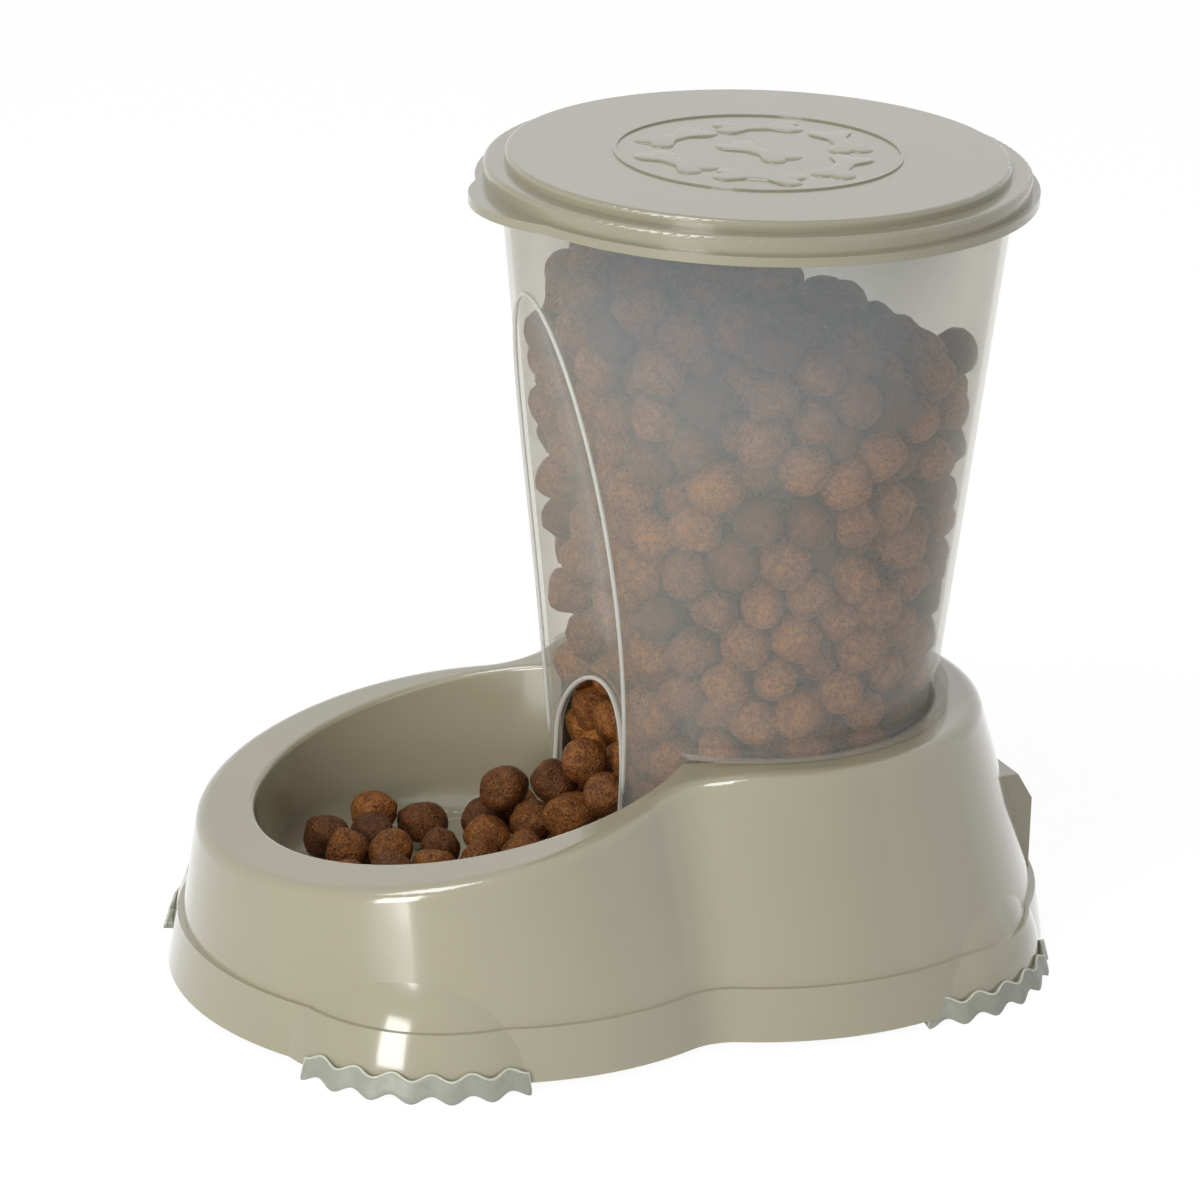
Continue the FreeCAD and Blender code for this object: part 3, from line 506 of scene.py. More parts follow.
@dataclass
class Pellet:
    """One size of kibble: a short barrel with rounded ends, lumpy all over.

    The powers in side and end are the range for barrels. A share of the pellets, balls, is
    nearly round instead. Lumps are slow waves and crumbs are quick ones.
    """

    radius: float = 7.3
    half_length: float = 6.9
    segments: int = 12
    rings: int = 6
    spread: float = 0.06
    lumps: float = 0.35
    lump_rate: float = 0.22
    crumbs: float = 0.0
    crumb_rate: float = 0.75
    balls: float = 0.15
    ball_side: float = 0.92
    side: tuple[float, float] = (0.34, 0.56)
    end: tuple[float, float] = (0.55, 0.8)
    squash: float = 0.07
    last_latitude: float = 74.0

    def faces(self, count: int) -> list:
        """Number the faces of some pellets: rings of quads between two fans.

        Args:
            count: how many pellets.

        Returns:
            Lists of point numbers.
        """
        middle = grid_quads(self.rings, self.segments, False, True) + 1
        first = np.arange(self.segments)
        last = 1 + (self.rings - 1) * self.segments
        bottom = np.stack([np.zeros_like(first), 1 + (first + 1) % self.segments,
                           1 + first], axis=-1)
        top = np.stack([np.full_like(first, last + self.segments), last + first,
                        last + (first + 1) % self.segments], axis=-1)
        size = self.rings * self.segments + 2
        shift = (np.arange(count) * size)[:, None, None]
        quads = (middle[None] + shift).reshape(-1, 4).tolist()
        fans = (np.concatenate([bottom, top])[None] + shift).reshape(-1, 3).tolist()
        return quads + fans

    def points(self, centres: np.ndarray, rng: np.random.Generator) -> np.ndarray:
        """Work out the points of one pellet at each centre.

        A pellet is a superellipsoid: at latitude a, its radius is R times cos(a) to a power
        and its height is H times sin(a) to a power, sign kept. Slow sine waves over the
        surface push it in and out, quick ones roughen it, and a random turn points it
        anywhere.

        Args:
            centres: the pellets' centres.
            rng: the seeded source of shapes and turns.

        Returns:
            An array of count x points x 3.
        """
        count = len(centres)
        rings = np.linspace(-self.last_latitude, self.last_latitude, self.rings)
        latitude = np.radians(np.concatenate([[-90.0], rings, [90.0]]))
        turn = np.arange(self.segments) * 2 * math.pi / self.segments
        a = np.concatenate([latitude[:1], np.repeat(latitude[1:-1], self.segments),
                            latitude[-1:]])[None, :]
        b = np.concatenate([[0.0], np.tile(turn, self.rings), [0.0]])[None, :]
        ball = rng.random((count, 1)) < self.balls
        side_power = np.where(ball, self.ball_side, rng.uniform(*self.side, (count, 1)))
        end_power = np.where(ball, 1.0, rng.uniform(*self.end, (count, 1)))
        radius = self.radius * (1 + self.spread * rng.uniform(-1, 1, (count, 1)))
        half = self.half_length * (1 + 2 * self.spread * rng.uniform(-1, 0.6, (count, 1)))
        squash = 1 + self.squash * rng.uniform(-1, 1, (count, 1))
        across = radius * np.clip(np.cos(a), 0, 1) ** side_power
        along = half * np.sign(np.sin(a)) * np.abs(np.sin(a)) ** end_power
        shape = np.stack([across * np.cos(b) * squash, across * np.sin(b) / squash,
                          np.broadcast_to(along, across.shape)], axis=-1)
        waves = ((self.lump_rate, self.lumps),) * 3 + ((self.crumb_rate, self.crumbs),) * 6
        for rate, height in waves:
            wave = rng.normal(size=(count, 1, 3)) * rate
            phase = rng.uniform(0, 2 * math.pi, (count, 1))
            push = height * np.sin((shape * wave).sum(-1) + phase)
            shape = shape * (1 + push / self.radius)[..., None]
        turns = random_turns(count, rng)
        return np.einsum("nij,nvj->nvi", turns, shape) + centres[:, None, :]


@dataclass
class HopperSpace:
    """The inside of the hopper: a cone, a hollowed front and a sloping floor.

    The taper and the slope are rises per length. The heap has a crest, falls behind it and
    dips at the front, more on the left.
    """

    axis_y: float = 41.75
    deck_radius: float = 60.1
    deck: float = 79.5
    taper: float = 0.1053
    wall: float = 1.8
    sill_y: float = -12.87
    sill: float = 27.5
    slope: float = 0.4533
    scoop_y: float = -382.25
    scoop_z: float = 70.0
    scoop_ring: float = 303.0
    scoop_tube: float = 75.0
    margin: float = 0.35
    crest: float = 235.5
    crest_y: float = 27.0
    fall: float = 0.5
    dip: float = 2.6
    dip_y: float = -14.0
    dip_skew: float = 0.5
    crown: float = 0.0006

    def heap(self, place: np.ndarray) -> np.ndarray:
        """Work out the food's height: a crest less straight falls and a square crown.

        Args:
            place: points in the hopper.

        Returns:
            The height over each point.
        """
        fall = np.clip(place[:, 1] - self.crest_y, 0, None)
        dip = np.clip(self.dip_y - place[:, 1] - self.dip_skew * place[:, 0], 0, None)
        return self.crest - self.fall * fall - self.dip * dip - self.crown * place[:, 0] ** 2

    def keep_inside(self, place: np.ndarray, reach: float) -> np.ndarray:
        """Push centres back inside, a pellet's reach off each wall.

        The cone gives the greatest distance from the axis at each height. The hollow is a
        ring's tube: a centre nearer to the tube's middle circle than its radius moves
        straight away from it. The floor is a plane.

        Args:
            place: the centres.
            reach: a pellet's radius.

        Returns:
            The centres, moved.
        """
        gap = reach + self.wall + self.margin
        flat = place[:, :2] - [0.0, self.axis_y]
        distance = np.linalg.norm(flat, axis=1)
        limit = self.deck_radius + self.taper * (place[:, 2] - self.deck) - gap
        scale = np.minimum(1.0, limit / np.maximum(distance, TINY))
        place[:, :2] = [0.0, self.axis_y] + flat * scale[:, None]
        out = place[:, 1:] - [self.scoop_y, self.scoop_z]
        ring = np.linalg.norm(out, axis=1)
        middle = [self.scoop_y, self.scoop_z] + out * (self.scoop_ring / ring)[:, None]
        away = np.stack([place[:, 0], *(place[:, 1:] - middle).T], axis=1)
        near = np.linalg.norm(away, axis=1)
        short = np.maximum(0.0, self.scoop_tube + gap - near)
        place += away * (short / np.maximum(near, TINY))[:, None]
        tilt = math.hypot(1.0, self.slope)
        above = (place[:, 2] - self.sill - self.slope * (place[:, 1] - self.sill_y)) / tilt
        lift = np.maximum(0.0, gap - above)
        place += lift[:, None] * np.array([0.0, -self.slope, 1.0]) / tilt
        return place


@dataclass
class BowlSpace:
    """The inside of the bowl in front of the hopper, with the slope that the food takes.

    The slope is a height at each of some depths. In front of bare_y the bowl is empty.
    """

    centre_y: float = -47.95
    half_width: float = 62.2
    half_length: float = 68.0
    gauge: float = 67.0
    draft: float = 0.15
    floor: float = 26.0
    corner: float = 13.0
    margin: float = 0.3
    hollow_y: float = -81.65
    hollow_margin: float = 0.6
    cone_margin: float = 0.8
    slope_y: tuple[float, ...] = (-92.0, -50.0, -30.0, -16.0, -4.0)
    slope_z: tuple[float, ...] = (41.5, 43.0, 50.0, 60.0, 70.0)
    bare_y: float = -91.0
    bare_drop: float = 60.0
    fall: float = 0.006
    ridge: float = 4.0
    ridge_half_width: float = 12.0
    hopper: HopperSpace = field(default_factory=HopperSpace)

    def heap(self, place: np.ndarray) -> np.ndarray:
        """Work out the food's height: one layer that climbs to the arch.

        It falls to both sides by the square of the width, with a low ridge in the middle.

        Args:
            place: points in the bowl.

        Returns:
            The height over each point.
        """
        rise = np.interp(place[:, 1], self.slope_y, self.slope_z)
        bare = np.where(place[:, 1] < self.bare_y, -self.bare_drop, 0.0)
        ridge = self.ridge * (np.abs(place[:, 0]) < self.ridge_half_width)
        return rise + bare - self.fall * place[:, 0] ** 2 + ridge

    def keep_inside(self, place: np.ndarray, reach: float) -> np.ndarray:
        """Push centres back inside, a pellet's reach off each wall.

        The wall is an ellipse that shrinks downwards, and more in the rounded corner over
        the floor. Behind, the food stays outside the hopper's cone or in its hollow, which
        is measured at the sill, so that the hopper lifts past it.

        Args:
            place: the centres.
            reach: a pellet's radius.

        Returns:
            The centres, moved.
        """
        gap = reach + self.margin
        place[:, 2] = np.maximum(place[:, 2], self.floor + gap)
        inner = max(self.corner - gap, 0.0)
        drop = np.clip(self.floor + self.corner - place[:, 2], 0.0, inner)
        pinch = inner - np.sqrt(np.maximum(inner ** 2 - drop ** 2, 0.0))
        shrink = (self.gauge - place[:, 2]) * self.draft + gap + pinch
        wide, long = self.half_width - shrink, self.half_length - shrink
        flat = place[:, :2] - [0.0, self.centre_y]
        level = np.hypot(flat[:, 0] / wide, flat[:, 1] / long)
        scale = 1.0 / np.maximum(level, 1.0)
        place[:, :2] = [0.0, self.centre_y] + flat * scale[:, None]
        space = self.hopper
        across = place[:, 0] ** 2
        hollow = self.hollow_y + np.sqrt(np.maximum(
            (space.scoop_tube - gap - self.hollow_margin) ** 2 - across, 0.0))
        radius = (space.deck_radius + space.taper * (place[:, 2] - space.deck) + gap
                  + self.cone_margin)
        cone = space.axis_y - np.sqrt(np.maximum(radius ** 2 - across, 0.0))
        place[:, 1] = np.minimum(place[:, 1], np.maximum(hollow, cone))
        return place


@dataclass
class ArchSpace:
    """The open arch, where pellets lie free of every wall."""

    def heap(self, place: np.ndarray) -> np.ndarray:
        """Return a level under every place, so that no pellet is added."""
        return np.zeros(len(place))

    def keep_inside(self, place: np.ndarray, reach: float) -> np.ndarray:
        """Return the places as they are."""
        return place


Space = HopperSpace | BowlSpace | ArchSpace


@dataclass
class Packing:
    """Settles equal balls in a space, so that they touch and hardly overlap.

    The balls start on a lattice whose pitches are shares of the diameter, and sink until
    a share of the steps, still_share, is done. Every few steps, refresh, the near pairs
    are found again, and each step parts them a few times, sweeps.
    """

    diameter: float = 14.6
    shares: tuple[float, float, float] = (1.01, 0.91, 0.88)
    steps: int = 260
    fall: float = 0.16
    clear: float = 0.3
    near: float = 1.35
    refresh: int = 8
    sweeps: int = 4
    push: float = 0.36
    pull: float = 0.35
    still_share: float = 0.85

    def pairs(self, place: np.ndarray) -> tuple[np.ndarray, np.ndarray]:
        """Find each two balls that are near each other, by the distance of their centres.

        Args:
            place: the centres.

        Returns:
            The numbers of the first ball and of the second.
        """
        gap = place[:, None, :] - place[None, :, :]
        near = (gap ** 2).sum(-1) < (self.near * self.diameter) ** 2
        first, second = np.nonzero(np.triu(near, 1))
        return first, second

    def settle(self, place: np.ndarray, space: Space, held: int = 0) -> np.ndarray:
        """Let the balls sink a little at each step, part those that overlap and keep them in.

        Each overlapping pair moves apart along the line between the centres, each ball by
        a share, push, of the overlap, and each ball takes the sum of its pushes.

        Args:
            place: the first centres.
            space: what holds them, with keep_inside.
            held: how many of the first ones are drawn back to where they start.

        Returns:
            The settled centres.
        """
        count = len(place)
        home = place[:held].copy()
        for step in range(self.steps):
            if step % self.refresh == 0:
                first, second = self.pairs(place)
            place[:, 2] -= self.fall * max(0.0, 1.0 - step / (self.still_share * self.steps))
            for _ in range(self.sweeps):
                gap = place[first] - place[second]
                length = np.linalg.norm(gap, axis=1) + 1e-9
                overlap = np.clip(self.diameter - length, 0, None)
                shift = gap * (overlap / length * self.push)[:, None]
                for axis in range(3):
                    place[:, axis] += np.bincount(first, shift[:, axis], count)
                    place[:, axis] -= np.bincount(second, shift[:, axis], count)
                place[:held] += self.pull * (home - place[:held])
                place = space.keep_inside(place, self.diameter / 2 + self.clear)
        return place


@dataclass
class Food:
    """Loose food: pellets packed in a space and made into one piece.

    The lattice of first centres fills the box from low to high, shaken by jitter. Centres
    above the heap, those that the walls move further than slack and those too near a placed
    one are dropped.
    """

    name: str
    node: str
    body: Body
    seed: int
    space: Space
    low: Point
    high: Point
    pellet: Pellet = field(default_factory=Pellet)
    packing: Packing = field(default_factory=Packing)
    placed: tuple[Point, ...] = ()
    # Range of the pellets' tones: random, and a low range darkens the food as painted shade.
    tones_and_shade: tuple[float, float] = (0.12, 0.82)
    jitter: float = 1.3
    slack: float = 3.2
    nearest: float = 0.8

    def seeds(self, rng: np.random.Generator) -> np.ndarray:
        """Lay out the first centres: the placed ones, and a shaken lattice round them.

        Args:
            rng: the seeded source of the jitter.

        Returns:
            The centres, the placed ones first.
        """
        pitch = self.packing.diameter
        steps = [np.arange(a, b, pitch * share)
                 for a, b, share in zip(self.low, self.high, self.packing.shares)]
        x, y, z = np.meshgrid(*steps, indexing="ij")
        lattice = np.stack([x.ravel(), y.ravel(), z.ravel()], axis=-1)
        level = np.arange(len(steps[2]))[None, None, :] % 2 * (pitch / 2)
        lattice[:, 0] += np.broadcast_to(level, x.shape).ravel()
        lattice += rng.normal(size=lattice.shape) * self.jitter
        reach = self.packing.diameter / 2
        moved = self.space.keep_inside(lattice.copy(), reach)
        inside = np.linalg.norm(moved - lattice, axis=1) < self.slack
        under = lattice[:, 2] + reach < self.space.heap(lattice)
        lattice = lattice[inside & under]
        if not self.placed:
            return lattice
        first = np.array(self.placed)
        gap = np.linalg.norm(lattice[:, None] - first[None], axis=-1).min(axis=1)
        return np.concatenate([first, lattice[gap > self.nearest * pitch]])

    def build(self, material: bpy.types.Material) -> bpy.types.Object:
        """Pack the pellets, make the piece and put it in place of its node, if it has one.

        Args:
            material: the pellets' finish.

        Returns:
            The piece, with each pellet's tone as an attribute; low tones paint shade.
        """
        rng = np.random.default_rng(self.seed)
        centres = self.packing.settle(self.seeds(rng), self.space, len(self.placed))
        points = self.pellet.points(centres, rng)
        count, per_pellet = points.shape[:2]
        points = self.space.keep_inside(points.reshape(-1, 3), 0.0)
        piece = make_piece(self.name, points.reshape(-1, 3), self.pellet.faces(count),
                           self.body, Slot.KIBBLE, material)
        tone = piece.data.attributes.new("tone", "FLOAT", "POINT")
        tone.data.foreach_set("value", np.repeat(rng.uniform(*self.tones_and_shade, count),
                                                  per_pellet))
        if self.node:
            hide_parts(self.node)
        LOG.info("%s: %d pellets", self.name, count)
        return piece


@dataclass
class Grip:
    """One soft grip: a wavy ribbon round a foot, with a raised line and a pad under it."""

    name: str
    node: str
    centre: tuple[float, float]
    outward: float
    dome: float = 51.4
    drop: float = 2.0
    half_angle: float = 39.0
    waves: int = 6
    wave_height: float = 1.1
    wave_out: float = 0.45
    wave_top: float = 0.86
    ground: float = 0.05
    band: float = 1.35
    height: float = 6.4
    flare: float = 1.15
    foot_flare: float = 0.9
    flare_power: float = 1.4
    seat: float = 0.06
    pad_inner: float = 42.8
    pad_top: float = 2.9
    pad_step: float = 0.4
    pad_reach: float = 3.0
    line: float = 0.42
    line_lead: int = 7
    line_rise: tuple[float, float] = (0.12, 0.94)
    columns: int = 141

    def dome_radius(self, z: np.ndarray) -> np.ndarray:
        """Return the foot's radius at a height: a ball cut level."""
        return np.sqrt(self.dome ** 2 - (z + self.drop) ** 2)

    def edges(self, along: np.ndarray) -> tuple[np.ndarray, np.ndarray]:
        """Return the ribbon's lower and upper edge heights along it, both one cosine wave."""
        wave = self.wave_height * (1 - np.cos(along * self.waves * 2 * math.pi))
        return self.ground + wave, self.height + wave * self.wave_top

    def to_world(self, along: np.ndarray, radius: np.ndarray, z: np.ndarray) -> np.ndarray:
        """Place points on the arc round the foot: polar about its centre.

        Args:
            along: shares of the arc, 0 to 1.
            radius, z: distances from the foot's axis and heights.

        Returns:
            The points.
        """
        angle = np.radians(self.outward + self.half_angle * (2 * along - 1))
        return np.stack([self.centre[0] + radius * np.cos(angle),
                         self.centre[1] + radius * np.sin(angle),
                         np.broadcast_to(z, radius.shape)], axis=-1)

    def ribbon(self) -> tuple[np.ndarray, list]:
        """Carry the ribbon's section along the arc.

        The section is a loop: up the outside from the flared lower edge to the upper edge,
        over it, down along the foot, in over the pad, and back under. Its lower side
        follows the wave, and a cosine pushes the outside in and out with it.

        Returns:
            The points and the faces, ends closed.
        """
        along = np.linspace(0.0, 1.0, self.columns)[:, None]
        low, high = self.edges(along)
        out = self.wave_out * np.cos(along * self.waves * 2 * math.pi)
        pad, inner = np.full_like(low, self.pad_top), np.full_like(low, self.pad_inner)
        section = [(self.dome_radius(low) + self.band + self.foot_flare + out, low)]
        for share in (0.08, 0.3, 0.55, 0.8, 0.95):
            z = low + (high - low) * share
            flare = self.flare * (1 - share) ** self.flare_power
            section.append((self.dome_radius(z) + self.band + flare + out, z))
        section.append((self.dome_radius(high) + self.band * 0.6 + out, high))
        section.append((self.dome_radius(high) + self.seat, high))
        foot = self.pad_top + self.pad_step
        for share in (0.6, 0.2):
            z = foot + (high - foot) * share
            section.append((self.dome_radius(z) + self.seat, z))
        section += [(self.dome_radius(pad) + self.seat, pad), (inner, pad), (inner, low),
                    (self.dome_radius(low) - self.pad_reach, low)]
        radius, z = (np.concatenate(row, axis=1) for row in zip(*section))
        points = self.to_world(along, radius, z)
        rows, columns = radius.shape
        quads = grid_quads(rows, columns, False, True)[:, ::-1].tolist()
        ends = [list(range(columns)), list(range((rows - 1) * columns, rows * columns))[::-1]]
        return points.reshape(-1, 3), quads + ends

    def raised_line(self) -> tuple[np.ndarray, list]:
        """Carry a small circle up one end, along the upper edge and down the other.

        Returns:
            The points and the faces, ends closed.
        """
        lead, top = self.line_lead, 2 * self.columns
        along = np.concatenate([np.zeros(lead), np.linspace(0, 1, top), np.ones(lead)])
        low, high = self.edges(along)
        rise = np.concatenate([np.linspace(*self.line_rise, lead), np.ones(top),
                               np.linspace(*self.line_rise[::-1], lead)])
        z = low + (high - low) * rise
        out = self.wave_out * np.cos(along * self.waves * 2 * math.pi)
        radius = self.dome_radius(z) + self.band * 0.75 + (1 - rise) ** self.flare_power + out
        angle = np.radians(self.outward + self.half_angle * (2 * along - 1))
        outward = np.stack([np.cos(angle), np.sin(angle), 0 * angle], axis=-1)
        return tube(self.to_world(along, radius, z), outward, self.line)

    def build(self, rubber: bpy.types.Material,
              line: bpy.types.Material) -> list[bpy.types.Object]:
        """Make the ribbon in place of its node, and the raised line on it.

        Args:
            rubber: the ribbon's finish.
            line: the line's finish.

        Returns:
            Both pieces.
        """
        points, faces = self.ribbon()
        ribbon = make_piece(self.name, points, faces, Body.BASE, Slot.RUBBER, rubber)
        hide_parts(self.node)
        points, faces = self.raised_line()
        return [ribbon, make_piece(self.name + "_line", points, faces, Body.BASE,
                                   Slot.RUBBER, line)]


@dataclass
class ScoopEdge:
    """The rounded edge where the hopper's hollow front meets its cone: a pale tube that paints
    the highlight the edge catches.
    """

    space: HopperSpace = field(default_factory=HopperSpace)
    low: float = 62.0
    line: float = 0.68
    count: int = 90
    depths: tuple[float, float] = (-40.0, 20.0)
    depth_steps: int = 12001
    heights: tuple[float, float] = (120.0, 245.0)
    height_steps: int = 5001
    outside_weight: float = 50.0

    def side(self) -> np.ndarray:
        """Work out the edge from below the deck to its top, on the right.

        At each height the cone is a circle about the hopper's axis and the hollow is the
        ring's tube. The depth at which both give the same width is read off a fine scale.

        Returns:
            The edge's points, from the lowest.
        """
        space = self.space
        share = np.linspace(0.0, 1.0, self.count)
        heights = self.low + (self.top() - self.low) * (1 - (1 - share) ** 2)
        depth = np.linspace(*self.depths, self.depth_steps)[None, :]
        radius = space.deck_radius + space.taper * (heights[:, None] - space.deck)
        ring = np.hypot(depth - space.scoop_y, heights[:, None] - space.scoop_z)
        cone = radius ** 2 - (depth - space.axis_y) ** 2
        hollow = space.scoop_tube ** 2 - (ring - space.scoop_ring) ** 2
        outside = np.maximum(-cone, 0.0) + np.maximum(-hollow, 0.0)
        best = (np.abs(cone - hollow) + self.outside_weight * outside).argmin(axis=1)
        y = depth[0, best]
        x = np.sqrt(np.maximum(cone[np.arange(self.count), best], 0.0))
        return np.stack([x, y, heights], axis=-1)

    def top(self) -> float:
        """Find the height where the hollow runs out of the cone's front.

        Both depths are worked out on a fine scale of heights, the hollow's from the ring's
        outer circle, and the height with the least difference is taken.

        Returns:
            The height.
        """
        space = self.space
        heights = np.linspace(*self.heights, self.height_steps)
        front = space.axis_y - space.deck_radius - space.taper * (heights - space.deck)
        reach = space.scoop_ring + space.scoop_tube
        hollow = space.scoop_y + np.sqrt(reach ** 2 - (heights - space.scoop_z) ** 2)
        return float(heights[np.abs(front - hollow).argmin()])

    def build(self, material: bpy.types.Material) -> bpy.types.Object:
        """Carry a small circle up one side of the edge and down the other.

        Args:
            material: the edge's finish.

        Returns:
            The piece.
        """
        right = self.side()
        path = np.concatenate([right, right[-2::-1] * [-1.0, 1.0, 1.0]])
        outward = (path - [0.0, self.space.axis_y, 0.0]) * [1.0, 1.0, 0.0]
        return make_piece("scoop_edge", *tube(path, outward, self.line), Body.HOPPER,
                          Slot.CLEAR, material)


@dataclass
class ArchRim:
    """The rounded rim of the arch through the hopper's hollow front: a pale tube that paints the
    highlight the rim catches.
    """

    space: HopperSpace = field(default_factory=HopperSpace)
    radius: float = 24.5
    middle: float = 63.0
    foot: float = 44.0
    line: float = 0.8
    proud: float = 0.2
    leg_steps: int = 8
    bend_steps: int = 61

    def build(self, material: bpy.types.Material) -> bpy.types.Object:
        """Carry a small circle up one leg, round the arch and down the other.

        The depth is the hollow's own: the ring's tube at that width and height.

        Args:
            material: the rim's finish.

        Returns:
            The piece.
        """
        space = self.space
        bend = np.radians(np.linspace(0.0, 180.0, self.bend_steps))
        leg = np.linspace(self.foot, self.middle, self.leg_steps)[:-1]
        x = np.concatenate([np.full(leg.size, self.radius), self.radius * np.cos(bend),
                            np.full(leg.size, -self.radius)])
        z = np.concatenate([leg, self.middle + self.radius * np.sin(bend), leg[::-1]])
        reach = space.scoop_ring + np.sqrt(space.scoop_tube ** 2 - x ** 2)
        y = space.scoop_y + np.sqrt(reach ** 2 - (z - space.scoop_z) ** 2) - self.proud
        path = np.stack([x, y, z], axis=-1)
        forwards = np.broadcast_to([0.0, -1.0, 0.0], path.shape)
        return make_piece("arch_rim", *tube(path, forwards, self.line), Body.HOPPER,
                          Slot.CLEAR, material)


@dataclass
class LidRelief:
    """Generic bones in low relief inside the lid's ring.

    The bar and the knobs are shares of a bone's half length, and the crown is a share of
    the outline at each share of the rise.
    """

    centre_y: float = 41.75
    top: float = 250.4
    rise: float = 0.5
    half_length: float = 13.0
    bar_share: float = 0.78
    bar_half_width: float = 3.1
    knob: tuple[float, float] = (0.76, 0.25)
    knob_radius: float = 3.7
    ring: float = 28.5
    bones: int = 6
    first_angle: float = -25.0
    sway: float = 12.0
    middle_turn: float = 20.0
    crown_shares: tuple[float, ...] = (1.0, 1.0, 0.97, 0.93, 0.86, 0.5)
    crown_heights: tuple[float, ...] = (-0.06, 0.04, 0.5, 0.85, 1.0, 1.04)
    segments: int = 96

    def outline(self) -> np.ndarray:
        """Work out one bone's outline as its reach at each angle.

        A bone is a bar with two round knobs at each end. The reach at an angle is the
        furthest crossing of that ray with any of the five shapes.

        Returns:
            The reaches, one per segment.
        """
        angle = np.arange(self.segments) * 2 * math.pi / self.segments
        ray = np.stack([np.cos(angle), np.sin(angle)], axis=-1)
        across = np.maximum(np.abs(ray), TINY)
        reach = np.minimum(self.bar_share * self.half_length / across[:, 0],
                           self.bar_half_width / across[:, 1])
        for side in ((1, 1), (1, -1), (-1, 1), (-1, -1)):
            knob = np.array(self.knob) * side * self.half_length
            along = ray @ knob
            inside = self.knob_radius ** 2 - (knob @ knob - along ** 2)
            far = along + np.sqrt(np.maximum(inside, 0.0))
            reach = np.maximum(reach, np.where((inside > 0) & (along > 0), far, 0.0))
        return reach

    def places(self) -> list[Point]:
        """Lay out the bones: one in the middle and the others evenly round it.

        Returns:
            Each bone's centre and its turn in degrees, along the ring and a little swayed.
        """
        spots = [(0.0, 0.0, self.middle_turn)]
        for number in range(self.bones):
            angle = math.radians(360.0 / self.bones * number + self.first_angle)
            sway = self.sway if number % 2 else -self.sway
            spots.append((self.ring * math.cos(angle), self.ring * math.sin(angle),
                          math.degrees(angle) + 90.0 + sway))
        return spots

    def build(self, material: bpy.types.Material) -> bpy.types.Object:
        """Make the relief: rings of each outline, drawn in and raised to a flat crown.

        Args:
            material: the lid's finish.

        Returns:
            The piece.
        """
        reach = self.outline()
        angle = np.arange(self.segments) * 2 * math.pi / self.segments
        shares = np.array(self.crown_shares)
        heights = np.array(self.crown_heights) * self.rise
        points, faces = [], []
        size = len(shares) * self.segments + 2
        for number, (x, y, turn) in enumerate(self.places()):
            theta = angle[None, :] + math.radians(turn)
            radius = shares[:, None] * reach[None, :]
            ring = np.stack([x + radius * np.cos(theta),
                             self.centre_y + y + radius * np.sin(theta),
                             self.top + np.broadcast_to(heights[:, None], radius.shape)], -1)
            poles = np.array([[x, self.centre_y + y, self.top + heights[0]],
                              [x, self.centre_y + y, self.top + heights[-1]]])
            points.append(np.concatenate([ring.reshape(-1, 3), poles]))
            shift = number * size
            quads = grid_quads(len(shares), self.segments, False, True) + shift
            first = np.arange(self.segments)
            after = (first + 1) % self.segments
            last = (len(shares) - 1) * self.segments
            under = np.stack([np.full_like(first, size - 2), after, first], -1) + shift
            crown = np.stack([np.full_like(first, size - 1), last + first, last + after],
                             -1) + shift
            faces += quads.tolist() + under.tolist() + crown.tolist()
        return make_piece("lid_bones", np.concatenate(points), faces, Body.LID, Slot.LID,
                          material)


